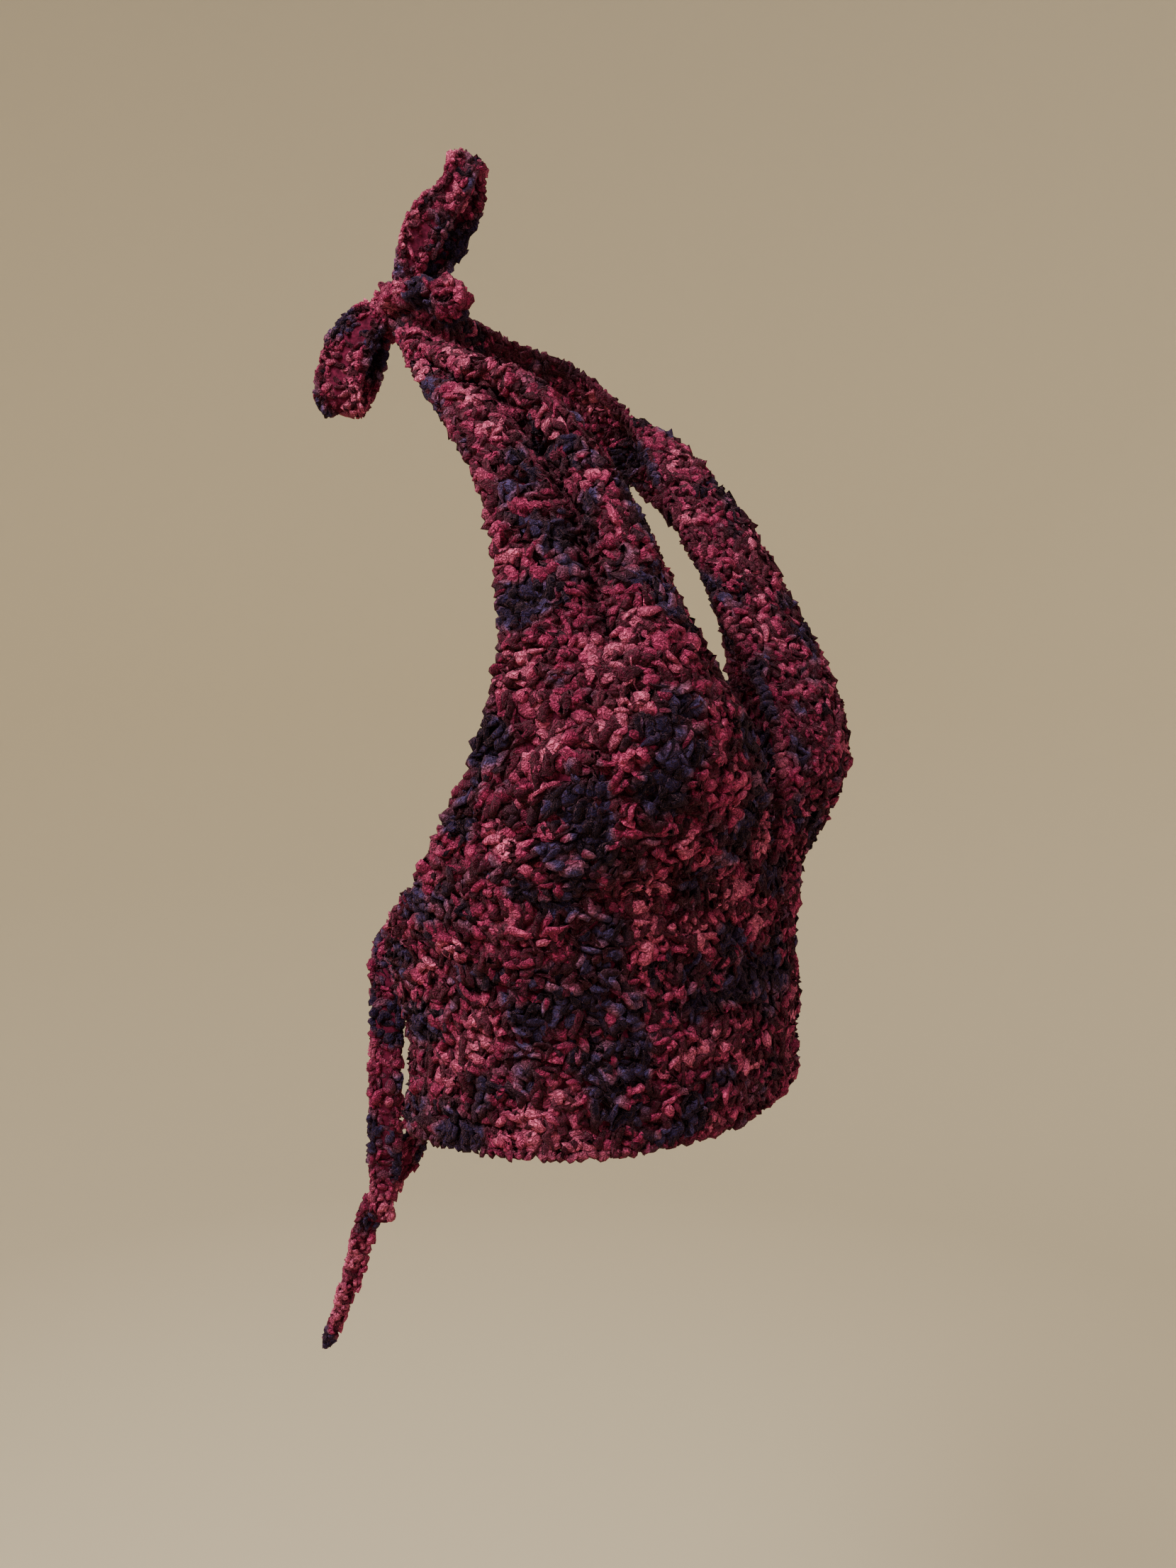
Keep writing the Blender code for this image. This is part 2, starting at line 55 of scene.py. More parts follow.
# Body band, as in the construction: its sections, its top edge and hem, and its largest folds
BAND_CENTRE_Y = -0.115
BAND_SECTIONS = [
    # z, half_width, front_depth, back_depth
    (-0.462, 0.1300, 0.0935, 0.0985),
    (-0.448, 0.1290, 0.0940, 0.0980),
    (-0.416, 0.1270, 0.0960, 0.0940),
    (-0.391, 0.1280, 0.0950, 0.1010),
    (-0.356, 0.1310, 0.0905, 0.1120),
    (-0.336, 0.1350, 0.0920, 0.1170),
    (-0.320, 0.1374, 0.0938, 0.1185),
    (-0.306, 0.1374, 0.0938, 0.1185),
]
BAND_EDGES = [
    # degrees round from the centre front, top_z, hem_z
    (0, -0.3100, -0.4380),
    (60, -0.3150, -0.4390),
    (95, -0.3150, -0.4415),
    (104, -0.3160, -0.4430),
    (112, -0.3275, -0.4450),
    (120, -0.3380, -0.4475),
    (132, -0.3460, -0.4510),
    (156, -0.3520, -0.4540),
]
BAND_TOP_END = 156.0
BAND_HEM_END = 150.0
FRONT_SQUARENESS = 2.05
BACK_SQUARENESS = 2.5
BAND_FOLDS = [
    # middle_turn, half_turn, z, half_height, depth
    (-118, 46, -0.398, 0.011, 0.0030),
    (-52, 34, -0.377, 0.010, 0.0022),
    (22, 40, -0.413, 0.010, 0.0024),
    (84, 36, -0.384, 0.011, 0.0024),
    (126, 34, -0.411, 0.011, 0.0028),
]

# Front panels: the left one's rows up to the side of the neck, mirrored for the right one
SEAM_START = 1.5
SEAM_END = 104.0
SEAM_BLEND = 0.12
PANEL_ROWS = [
    # inner edge x, y, z, then the crown's, then the outer edge's
    ((0.0036, -0.2110, -0.3040), (0.0820, -0.1890, -0.3150), (0.1335, -0.0760, -0.3155)),
    ((0.0085, -0.2110, -0.2800), (0.0900, -0.2060, -0.2820), (0.1340, -0.0930, -0.2850)),
    ((0.0100, -0.2095, -0.2580), (0.0920, -0.2160, -0.2520), (0.1315, -0.1050, -0.2620)),
    ((0.0170, -0.2010, -0.2320), (0.0900, -0.2135, -0.2270), (0.1285, -0.1190, -0.2250)),
    ((0.0280, -0.1820, -0.2020), (0.0870, -0.2035, -0.2000), (0.1250, -0.1225, -0.1990)),
    ((0.0350, -0.1570, -0.1640), (0.0830, -0.1825, -0.1610), (0.1200, -0.1195, -0.1730)),
    ((0.0380, -0.1360, -0.1280), (0.0790, -0.1625, -0.1240), (0.1130, -0.1080, -0.1350)),
    ((0.0455, -0.1150, -0.0970), (0.0765, -0.1380, -0.0920), (0.1050, -0.0890, -0.1030)),
    ((0.0570, -0.0945, -0.0660), (0.0785, -0.1070, -0.0600), (0.0940, -0.0630, -0.0760)),
]
RIGHT_STRAP_ROWS = [
    ((-0.0700, -0.0720, -0.0420), (-0.0790, -0.0620, -0.0420), (-0.0820, -0.0420, -0.0560)),
    ((-0.0660, -0.0370, -0.0260), (-0.0710, -0.0290, -0.0265), (-0.0700, -0.0180, -0.0330)),
    ((-0.0590, -0.0130, -0.0105), (-0.0605, -0.0060, -0.0115), (-0.0570, 0.0010, -0.0150)),
    ((-0.0500, 0.0060, 0.0020), (-0.0508, 0.0100, 0.0000), (-0.0490, 0.0130, -0.0030)),
]
LEFT_STRAP_ROWS = [
    ((0.0690, -0.0720, -0.0360), (0.0790, -0.0600, -0.0360), (0.0815, -0.0420, -0.0500)),
    ((0.0660, -0.0390, -0.0080), (0.0720, -0.0310, -0.0150), (0.0730, -0.0240, -0.0260)),
    ((0.0490, -0.0100, 0.0050), (0.0535, -0.0040, -0.0050), (0.0550, 0.0000, -0.0160)),
    ((0.0260, 0.0020, 0.0110), (0.0280, 0.0055, 0.0010), (0.0290, 0.0080, -0.0090)),
    ((0.0000, 0.0035, 0.0115), (0.0000, 0.0060, 0.0015), (0.0000, 0.0080, -0.0080)),
    ((-0.0240, 0.0045, 0.0085), (-0.0250, 0.0075, 0.0005), (-0.0250, 0.0095, -0.0075)),
    ((-0.0430, 0.0085, 0.0055), (-0.0440, 0.0110, 0.0010), (-0.0450, 0.0125, -0.0035)),
]
GROOVES = {
    # right panel, left panel: place and half width in shares of the panel's width, depth
    -1: [(0.72, 0.140, 0.0050), (0.72, 0.045, 0.0095), (0.42, 0.160, -0.0025), (0.93, 0.090, -0.0025)],
    1: [(0.70, 0.170, 0.0030)],
}
GROOVE_FOOT = (-0.230, -0.160)
GROOVE_HEAD = (-0.060, -0.025)

# Bow behind the neck
NECK_KNOT = (-0.0475, 0.0100, 0.0030)
NECK_KNOT_RADII = (0.0135, 0.0130, 0.0165)
BEHIND = (0.84, 0.54, 0.0)
UPPER_LOOP_ACROSS = (0.53, -0.72, -0.46)
UPPER_LOOP = [
    # x, y, z of the first layer, its width, second layer's width, distance behind, shift across
    (-0.0475, 0.0070, 0.0090, 0.0120, 0.0110, 0.0080, 0.0000),
    (-0.0450, 0.0020, 0.0240, 0.0145, 0.0125, 0.0095, 0.0080),
    (-0.0446, -0.0083, 0.0420, 0.0240, 0.0160, 0.0120, 0.0135),
    (-0.0425, -0.0157, 0.0530, 0.0235, 0.0165, 0.0125, 0.0125),
    (-0.0365, -0.0268, 0.0670, 0.0180, 0.0165, 0.0120, 0.0080),
    (-0.0340, -0.0310, 0.0800, 0.0175, 0.0170, 0.0110, 0.0030),
]
LOWER_LOOP_ACROSS = (0.52, -0.85, -0.08)
LOWER_LOOP = [
    (-0.0500, 0.0110, 0.0030, 0.0130, 0.0120, 0.0085, 0.0010),
    (-0.0596, 0.0190, -0.0047, 0.0240, 0.0190, 0.0110, 0.0030),
    (-0.0668, 0.0244, -0.0167, 0.0275, 0.0250, 0.0125, 0.0055),
    (-0.0711, 0.0278, -0.0292, 0.0275, 0.0265, 0.0125, 0.0060),
    (-0.0732, 0.0293, -0.0400, 0.0270, 0.0260, 0.0130, 0.0045),
    (-0.0740, 0.0295, -0.0480, 0.0265, 0.0260, 0.0130, 0.0025),
]
LOOP_THICKNESS = 0.0068
CURL_ACROSS = (0.837, 0.543, -0.066)
CURL_UP = (0.055, 0.036, 0.998)
CURL_CENTRE = (-0.0710, -0.0491, -0.0096)
CURL_RADIUS = 0.0076
CURL_TURN = 280.0
CURL_START = 120.0
CURL_TIGHTEN = 0.18
CURL_WIDTH = 0.0155
CURL_THICKNESS = 0.0090
CURL_LEAD = [
    # x, y, z, width, thickness
    (-0.0500, 0.0080, 0.0040, 0.0120, 0.0090),
    (-0.0570, 0.0019, 0.0032, 0.0140, 0.0125),
    (-0.0663, -0.0169, 0.0004, 0.0155, 0.0140),
    (-0.0712, -0.0295, -0.0015, 0.0155, 0.0125),
]

CURL_CORE = [
    # the rolled end that fills the curl: degrees turned, share of the radius, width, thickness
    (330.0, 0.62, 0.0140, 0.0070),
    (390.0, 0.42, 0.0130, 0.0065),
    (470.0, 0.24, 0.0120, 0.0060),
]

# Tie behind the back
WALL = 0.005
CLEARANCE = 0.0003
BACK_KNOT = (-0.0300, 0.0120, -0.3580)
BACK_KNOT_RADII = (0.0150, 0.0110, 0.0135)
TIE_HEIGHT_ON_BAND = 0.022
TIE_RIGHT_ROUTE = [
    # x, y, z, width, thickness
    (-0.0520, -0.0055, -0.3605, 0.0180, 0.0055),
    (-0.0430, 0.0035, -0.3590, 0.0150, 0.0062),
    (-0.0360, 0.0100, -0.3580, 0.0120, 0.0068),
]
TIE_LEFT_ROUTE = [
    (0.0500, -0.0060, -0.3610, 0.0180, 0.0055),
    (0.0330, 0.0010, -0.3612, 0.0165, 0.0062),
    (0.0130, 0.0070, -0.3608, 0.0150, 0.0065),
    (-0.0080, 0.0102, -0.3600, 0.0135, 0.0068),
    (-0.0220, 0.0118, -0.3585, 0.0120, 0.0068),
]
TIE_DIRECTION_STEP = 0.01   # share of the band's length over which its back edge's direction is read
TIE_ROOT_LENGTH = 0.004     # over which a tie keeps its shape beside the band
TIE_ROOT_WIDTH = 0.85       # share of its height on the band
TIE_ROOT_THICKNESS = 0.9    # share of the cloth's thickness
UPRIGHT = (0.0, 0.0, 1.0)
NEAR_END_ACROSS = (0.545, -0.839, 0.0)
NEAR_END_ROUTE = [
    (-0.0340, 0.0150, -0.3590, 0.0110, 0.0075),
    (-0.0435, 0.0200, -0.3640, 0.0130, 0.0080),
    (-0.0535, 0.0165, -0.3790, 0.0170, 0.0085),
    (-0.0575, 0.0115, -0.4050, 0.0190, 0.0085),
    (-0.0607, 0.0096, -0.4400, 0.0195, 0.0085),
    (-0.0618, 0.0092, -0.4720, 0.0195, 0.0085),
    (-0.0617, 0.0105, -0.5000, 0.0180, 0.0085),
    (-0.0622, 0.0140, -0.5340, 0.0140, 0.0080),
]
FAR_END_ACROSS = (0.700, -0.500, 0.0)
FAR_END_ROUTE = [
    (-0.0270, 0.0130, -0.3620, 0.0110, 0.0075),
    (-0.0250, 0.0120, -0.3740, 0.0140, 0.0080),
    (-0.0245, 0.0070, -0.4060, 0.0160, 0.0085),
    (-0.0290, 0.0030, -0.4500, 0.0160, 0.0085),
    (-0.0400, 0.0030, -0.4850, 0.0160, 0.0085),
    (-0.0478, 0.0157, -0.5120, 0.0160, 0.0085),
    (-0.0545, 0.0320, -0.5410, 0.0150, 0.0085),
    (-0.0560, 0.0420, -0.5740, 0.0125, 0.0080),
    (-0.0580, 0.0530, -0.6040, 0.0095, 0.0075),
    (-0.0607, 0.0635, -0.6300, 0.0060, 0.0060),
]
RIBBON_SQUARENESS = 3.0
CURL_POINTS = 10
KNOT_LUMP = 0.07            # share of the radius that a knot's wraps stand out
KNOT_WRAPS = 3.0
KNOT_TWIST = 2.5            # radians that the wraps turn from the knot's middle to its top

# Steps in which surfaces and lines are read
SHARE_STEP = 0.002
SIZE_SAMPLES = 80
ROW_SAMPLES = 120
EDGE_SAMPLES = 160
ROUTE_SAMPLES = 400
MERGE_DISTANCE = 1e-6

# Crochet: each stitch shows as a few short puffs of yarn, and the strand dips into the cloth between
STITCH_WIDTH = 0.0095
ROW_HEIGHT = 0.0115
EDGE_INSET = 0.0020         # of the outermost stitches from the cloth's edge, so that puffs end on it
GROUND_DEPTH = 0.0032       # of the ground shell under the solid's outer face
YARN_DEPTH = 0.0017         # of the highest puffs' middle under the solid's outer face
LINING_DEPTH = 0.0034       # of the inner side's puffs
RIBBON_GROUND_DEPTH = 0.0018
RIBBON_ROW_HEIGHT = 0.0085
OUTER_YARN = {"sides": 6, "samples": 2}
INNER_YARN = {"sides": 4, "samples": 2}
RIBBON_YARN = {"sides": 5, "samples": 2}
OUTER_PUFFS = [
    # millimetres along the row and up from the stitch's middle, angle from the row, length
    (-2.6, -2.9, 20.0, 8.8),
    (-0.8, 3.0, -22.0, 9.2),
    (2.4, 0.0, 46.0, 8.6),
]
INNER_PUFFS = [
    (-2.3, -2.4, 12.0, 9.0),
    (2.0, 2.6, -10.0, 9.0),
]
# Of the dip before a puff, its start, middle and end: place in half lengths, radius and depth in millimetres
PUFF_PLACES = (-1.35, -0.72, 0.0, 0.72)
PUFF_RADII = (1.30, 2.20, 2.90, 2.25)
PUFF_DEPTHS = (4.2, 0.9, 0.0, 0.9)
PLACE_JITTER = 0.9          # millimetres
ANGLE_JITTER = 34.0
LENGTH_JITTER = 1.3
RADIUS_JITTER = 0.25
LIFT_JITTER = 0.75          # of each puff
STITCH_LIFT_JITTER = 0.35   # of each whole stitch
PROUD_SHARE = 0.05          # of the puffs that stand out as loose loops
PROUD_LIFT = 1.3
PROUD_LENGTH = 2.2
FLATNESS = (1.45, 0.60)     # a puff's width and thickness, as shares of its radius
ROLL_JITTER = 44.0          # degrees that a puff is rolled about its length
ROW_VALLEY = 1.1            # millimetres that the cloth sinks between two rows
FUZZ = 0.28                 # millimetres that the strand's skin wavers
THINNEST = 0.8              # millimetres of radius
TIP_RADIUS = 0.2            # millimetres, at the strand's two ends
EDGE_GROUND_INSET = 0.0020
EDGE_PUFF_STEP = 0.0052
EDGE_PUFFS = [
    # the dip before a puff, its start, middle and end: along in steps, then inward, depth and radius in
    # millimetres
    (-0.50, 4.0, 2.6, 1.2),
    (-0.36, 1.7, 4.3, 1.8),
    (0.00, 0.6, 2.5, 2.5),
    (0.30, 1.7, 0.8, 1.9),
]
EDGE_JITTER = (0.12, 0.45, 0.5, 0.2)
LENGTHWISE_PLACES = (0.640, 0.705, 0.780)   # shares of the near strap's width, in its crease
LENGTHWISE_SPAN = (0.34, 0.90)
LENGTHWISE_STEP = 0.0165
LENGTHWISE_PUFFS = [
    (-0.48, 0.0, 4.4, 1.1),
    (-0.32, 0.3, 0.6, 1.7),
    (0.00, -0.3, -0.6, 1.9),
    (0.30, 0.3, 0.5, 1.7),
]
CREASE_PAINTED_SHADE = 0.30           # how much of a crease's depth counts as depth in the cloth, for painted shade in the crease
RIBBON_PUFF_SIZE = 0.78     # of the smaller stitches in straps and ties


def smooth_table(table, at):
    """Reads a table whose first column is the key, along a smooth curve through its rows."""
    table = np.asarray(table, float)
    keys, rows = table[:, 0], table[:, 1:]
    at = np.clip(np.asarray(at, float), keys[0], keys[-1])
    low = np.clip(np.searchsorted(keys, at, side="right") - 1, 0, len(keys) - 2)
    slope = np.gradient(rows, keys, axis=0)
    length = (keys[low + 1] - keys[low])[:, None]
    t = (at - keys[low])[:, None] / length
    return ((2 * t**3 - 3 * t**2 + 1) * rows[low] + (t**3 - 2 * t**2 + t) * slope[low] * length
            + (3 * t**2 - 2 * t**3) * rows[low + 1] + (t**3 - t**2) * slope[low + 1] * length)


def ease(x):
    """0 below 0, 1 above 1, smooth between."""
    x = np.clip(x, 0.0, 1.0)
    return x * x * (3.0 - 2.0 * x)


def unit(vectors):
    """Vectors of length 1."""
    vectors = np.asarray(vectors, float)
    return vectors / np.maximum(np.linalg.norm(vectors, axis=-1, keepdims=True), 1e-12)


def travelled(points):
    """Distance from the first point to each point, along straight steps."""
    steps = np.linalg.norm(np.diff(points, axis=0), axis=1)
    return np.concatenate([[0.0], np.cumsum(steps)])


def band_point(turn, z):
    """A point of the band's outer face, turn degrees round from the centre front."""
    half_width, front_depth, back_depth = smooth_table(BAND_SECTIONS, z).T
    angle = np.radians(turn)
    power = 2.0 / np.where(np.abs(turn) < 90, FRONT_SQUARENESS, BACK_SQUARENESS)
    depth = np.where(np.abs(turn) < 90, front_depth, back_depth)
    x = half_width * np.sign(np.sin(angle)) * np.abs(np.sin(angle)) ** power
    y = -depth * np.sign(np.cos(angle)) * np.abs(np.cos(angle)) ** power
    pressed = np.ones_like(x)
    for middle, half_turn, height, half_height, fold in BAND_FOLDS:
        along = ease(1.0 - np.abs(turn - middle) / half_turn)
        pressed -= fold / half_width * along * np.exp(-((z - height) / half_height) ** 2)
    return np.stack([x * pressed, BAND_CENTRE_Y + y * pressed, z], axis=-1)


def band_sunk(u, v):
    """How deep the band's folds press the cloth in, for the painted shade in its folds."""
    turn = (2.0 * u - 1.0) * (BAND_HEM_END + (BAND_TOP_END - BAND_HEM_END) * v)
    top, hem = smooth_table(BAND_EDGES, np.abs(turn)).T
    z = hem + (top - hem) * v
    return sum(fold * ease(1.0 - np.abs(turn - middle) / half_turn)
               * np.exp(-((z - height) / half_height) ** 2)
               for middle, half_turn, height, half_height, fold in BAND_FOLDS)


def band_surface(u, v):
    """u runs from the right back edge round the front to the left one, v from hem to top."""
    turn = (2.0 * u - 1.0) * (BAND_HEM_END + (BAND_TOP_END - BAND_HEM_END) * v)
    top, hem = smooth_table(BAND_EDGES, np.abs(turn)).T
    return band_point(turn, hem + (top - hem) * v)


def seam_points(s):
    """The band's top edge from the centre front to the armhole, evenly spaced in length."""
    turns = np.linspace(SEAM_START, SEAM_END, ROW_SAMPLES)
    edge = band_point(turns, smooth_table(BAND_EDGES, turns)[:, 0])
    lengths = travelled(edge)
    turn = np.interp(s, lengths / lengths[-1], turns)
    return band_point(turn, smooth_table(BAND_EDGES, turn)[:, 0])


def panel_surface(side, strap_rows):
    """The outer face of a front panel: s runs from inner to outer edge, t from seam to knot."""
    mirror = np.array([side, 1.0, 1.0])
    rows = np.array([np.array(row) * mirror for row in PANEL_ROWS] + [np.array(r) for r in strap_rows])
    lengths = travelled(rows[:, 1])
    table = np.column_stack([lengths / lengths[-1], rows.reshape(len(rows), 9)])

    def plain(s, t):
        inner, crown, outer = np.split(smooth_table(table, t), 3, axis=1)
        to_crown = np.linalg.norm(crown - inner, axis=1)
        k = (to_crown / (to_crown + np.linalg.norm(outer - crown, axis=1)))[:, None]
        s = s[:, None]
        return (inner * (s - k) * (s - 1) / k + crown * s * (s - 1) / (k * (k - 1))
                + outer * s * (s - k) / (1 - k))

    def creased(s, t):
        points = plain(s, t)
        along_s = plain(s + SHARE_STEP, t) - plain(s - SHARE_STEP, t)
        along_t = plain(s, np.minimum(t + SHARE_STEP, 1.0)) - plain(s, np.maximum(t - SHARE_STEP, 0.0))
        outward = unit(np.cross(along_s, along_t)) * side
        return points - outward * sunk(s, t)[:, None]

    def sunk(s, t):
        height = plain(s, t)[:, 2]
        high = ease((height - GROOVE_FOOT[0]) / (GROOVE_FOOT[1] - GROOVE_FOOT[0]))
        high *= ease((GROOVE_HEAD[1] - height) / (GROOVE_HEAD[1] - GROOVE_HEAD[0]))
        return high * sum(depth * np.exp(-((s - place) / half_width) ** 2)
                          for place, half_width, depth in GROOVES[side])

    def surface(s, t):
        seam = seam_points(s) * mirror
        start = creased(s, np.zeros_like(s))
        weight = 1.0 - ease(t / SEAM_BLEND)
        return creased(s, t) + weight[:, None] * (seam - start)

    return surface, lengths[-1], sunk


def ribbon_surface(route, across):
    """A flat tube along the route: p runs along it, q round it."""
    route = np.asarray(route, float)
    lengths = travelled(route[:, :3])
    table = np.column_stack([lengths, route])
    fine = np.linspace(0.0, lengths[-1], ROUTE_SAMPLES)
    along = unit(np.gradient(smooth_table(table, fine)[:, :3], fine, axis=0))

    def surface(p, q):
        at = np.clip(p, 0.0, 1.0) * lengths[-1]
        read = smooth_table(table, at)
        tangent = unit(np.stack([np.interp(at, fine, along[:, k]) for k in range(3)], axis=1))
        width_way = np.asarray(across, float)
        width_way = unit(width_way - tangent * (tangent @ width_way)[:, None])
        thickness_way = np.cross(tangent, width_way)
        angle = 2.0 * np.pi * q
        power = 2.0 / RIBBON_SQUARENESS
        wide = np.sign(np.cos(angle)) * np.abs(np.cos(angle)) ** power
        thick = np.sign(np.sin(angle)) * np.abs(np.sin(angle)) ** power
        return (read[:, :3] + width_way * (wide * read[:, 3] / 2)[:, None]
                + thickness_way * (thick * read[:, 4] / 2)[:, None])

    return surface, lengths[-1]


def loop_route(rows, across):
    """The route of a ribbon that runs out to a bow loop's tip and back behind itself."""
    rows = np.array(rows)
    first = rows[:, :3]
    along = unit(np.gradient(first, travelled(first), axis=0))
    across = np.array(across) - along * (along @ np.array(across))[:, None]
    across = unit(across)
    behind = np.cross(along, across)
    behind *= np.sign(behind @ np.array(BEHIND))[:, None]
    second = first + behind * rows[:, 5:6] + across * rows[:, 6:7]
    turn = (first[-1] + second[-1]) / 2 + along[-1] * rows[-1, 5] / 2
    out = [(*point, row[3], LOOP_THICKNESS) for point, row in zip(first, rows)]
    back = [(*point, row[4], LOOP_THICKNESS) for point, row in zip(second, rows)]
    return out + [(*turn, rows[-1, 3], LOOP_THICKNESS)] + back[::-1]


def curl_route():
    """The curled tail: its lead-in, then a roll that tightens towards the end."""
    right = unit(np.cross(CURL_ACROSS, CURL_UP))
    up = unit(CURL_UP)
    route = list(CURL_LEAD)
    for share in np.linspace(0.0, 1.0, CURL_POINTS):
        angle = np.radians(CURL_START - CURL_TURN * share)
        radius = CURL_RADIUS * (1.0 - CURL_TIGHTEN * share)
        point = np.array(CURL_CENTRE) + radius * (right * np.cos(angle) + up * np.sin(angle))
        route.append((*point, CURL_WIDTH, CURL_THICKNESS))
    for turn, share, width, thickness in CURL_CORE:
        angle = np.radians(CURL_START - turn)
        point = np.array(CURL_CENTRE) + CURL_RADIUS * share * (right * np.cos(angle) + up * np.sin(angle))
        route.append((*point, width, thickness))
    return route


def tie_route(corner_side, route):
    """The route of a tie that goes on from the band's back edge, at its top corner."""
    u = np.full(2, 0.5 + 0.5 * corner_side)
    before = u - TIE_DIRECTION_STEP * corner_side
    height = BAND_EDGES[0][1] - BAND_EDGES[0][2]
    v = np.array([1.0, 1.0 - TIE_HEIGHT_ON_BAND / height])
    edge = band_surface(u, v)
    onward = unit((edge - band_surface(before, v)).mean(axis=0) * np.array([1.0, 1.0, 0.0]))
    inward = np.cross(UPRIGHT, onward) * corner_side
    start = edge.mean(axis=0) + inward * WALL / 2
    lean = np.abs((edge - edge.mean(axis=0)) @ onward).max()
    rows = []
    for distance in (lean + CLEARANCE, lean + TIE_ROOT_LENGTH):
        rows.append((*(start + onward * distance), TIE_HEIGHT_ON_BAND * TIE_ROOT_WIDTH,
                     WALL * TIE_ROOT_THICKNESS))
    return rows + list(route)


def knot_surface(centre, radii):
    """A lumpy ball: p runs round it, q from its foot to its top."""

    def surface(p, q):
        azimuth = 2.0 * np.pi * p
        tilt = np.pi * (np.clip(q, 0.0, 1.0) - 0.5)
        way = np.stack([np.cos(azimuth) * np.cos(tilt), np.sin(azimuth) * np.cos(tilt), np.sin(tilt)],
                       axis=-1)
        wraps = np.cos(KNOT_WRAPS * azimuth + KNOT_TWIST * way[:, 2])
        lumps = 1.0 + KNOT_LUMP * wraps * (1.0 - way[:, 2] ** 2)
        return np.array(centre) + way * (np.array(radii) * lumps[:, None])

    return surface


def outward(surface, u, v, side):
    """Unit vectors out of the surface's outer face."""
    along_u = surface(u + SHARE_STEP, v) - surface(u - SHARE_STEP, v)
    along_v = surface(u, v + SHARE_STEP) - surface(u, v - SHARE_STEP)
    return unit(np.cross(along_u, along_v)) * side


def spline(points, samples):
    """A Catmull-Rom curve through the points, with the given samples for each stretch."""
    padded = np.vstack([2 * points[0] - points[1], points, 2 * points[-1] - points[-2]])
    a, b, c, d = padded[:-3], padded[1:-2], padded[2:-1], padded[3:]
    t = (np.arange(samples) / samples)[None, :, None]
    a, b, c, d = (x[:, None, :] for x in (a, b, c, d))
    curve = 0.5 * (2 * b + (c - a) * t + (2 * a - 5 * b + 4 * c - d) * t**2 + (3 * b - a - 3 * c + d) * t**3)
    return curve.reshape(-1, points.shape[1])


def row_shares(surface, v, first, last):
    """Reads u off the share of a row's length, and gives that length."""
    u = np.linspace(first, last, ROW_SAMPLES)
    lengths = travelled(surface(u, np.full_like(u, v)))
    return lengths / lengths[-1], u, lengths[-1]


def puffs(stitches, lift, rng, size=1.0):
    """Points of one row's strand, in millimetres: along, up, depth and radius, then its roll."""
    kinds = np.array(stitches, float)
    along, up, angle, length = (np.broadcast_to(kinds[:, k], (len(lift), len(kinds))) for k in range(4))
    shape = along.shape
    proud = rng.random(shape) < PROUD_SHARE
    along = along + rng.normal(0.0, PLACE_JITTER, shape)
    up = up + rng.normal(0.0, PLACE_JITTER, shape)
    angle = np.radians(angle + rng.normal(0.0, ANGLE_JITTER, shape))
    half = size * (length + rng.normal(0.0, LENGTH_JITTER, shape) + proud * PROUD_LENGTH) / 2
    rise = lift[:, None] + rng.normal(0.0, LIFT_JITTER, shape) + proud * PROUD_LIFT
    rise -= ROW_VALLEY * (2.0 * up * MILLIMETRE / ROW_HEIGHT) ** 2
    roll = np.radians(rng.normal(0.0, ROLL_JITTER, shape))
    grown = rng.normal(0.0, RADIUS_JITTER, shape)
    points = []
    for place, depth, radius in zip(PUFF_PLACES, PUFF_DEPTHS, PUFF_RADII):
        points.append(np.stack([along + half * place * np.cos(angle), up + half * place * np.sin(angle),
                                depth - rise, size * (radius + grown), roll / MILLIMETRE], axis=-1))
    return np.stack(points, axis=2)


def stitch_rows(surface, rows, stitches, rng, along=(0.0, 1.0), up=(0.0, 1.0), size=1.0):
    """Points of one strand that works row after row, back and forth: u, v, depth, radius, roll."""
    strand = []
    row_step = (up[1] - up[0]) / rows
    for row in range(rows):
        middle = up[0] + (row + 0.5) * row_step
        shares, u, length = row_shares(surface, middle, *along)
        count = max(2, round(length / (STITCH_WIDTH * size)))
        lift = rng.normal(0.0, STITCH_LIFT_JITTER, count)
        row_puffs = puffs(stitches, lift, rng, size)
        start = (np.arange(count) + 0.5)[:, None, None] / count
        share = np.clip(start + row_puffs[..., 0] * MILLIMETRE / length, 0.0, 1.0).ravel()
        if row % 2:
            share = 1.0 - share
        height = middle + row_puffs[..., 1].ravel() * MILLIMETRE / ROW_HEIGHT * row_step
        rest = row_puffs[..., 2:].reshape(-1, 3) * MILLIMETRE
        strand.append(np.column_stack([np.interp(share, shares, u), height, rest]))
    return np.vstack(strand)


def edge_rows(surface, edges, rng, step=EDGE_PUFF_STEP, puff=EDGE_PUFFS):
    """Points of a strand whipped round each of the cloth's free edges: u, v, depth, radius, roll."""
    shares = np.linspace(0.0, 1.0, EDGE_SAMPLES)
    strand = []
    for edge in edges:
        lengths = travelled(surface(*edge(shares, 0.0)))
        count = round(lengths[-1] / step)
        pattern = np.array(puff)[None] + rng.normal(0.0, 1.0, (count, len(puff), 4)) * EDGE_JITTER
        along = (np.arange(count)[:, None] + 0.5 + pattern[..., 0]) / count
        share = np.interp(along.ravel(), lengths / lengths[-1], shares)
        u, v = edge(share, pattern[..., 1].ravel() * MILLIMETRE)
        roll = np.radians(rng.normal(0.0, ROLL_JITTER, len(u)))
        strand.append(np.column_stack([u, v, pattern[..., 2:].reshape(-1, 2) * MILLIMETRE, roll]))
    return strand


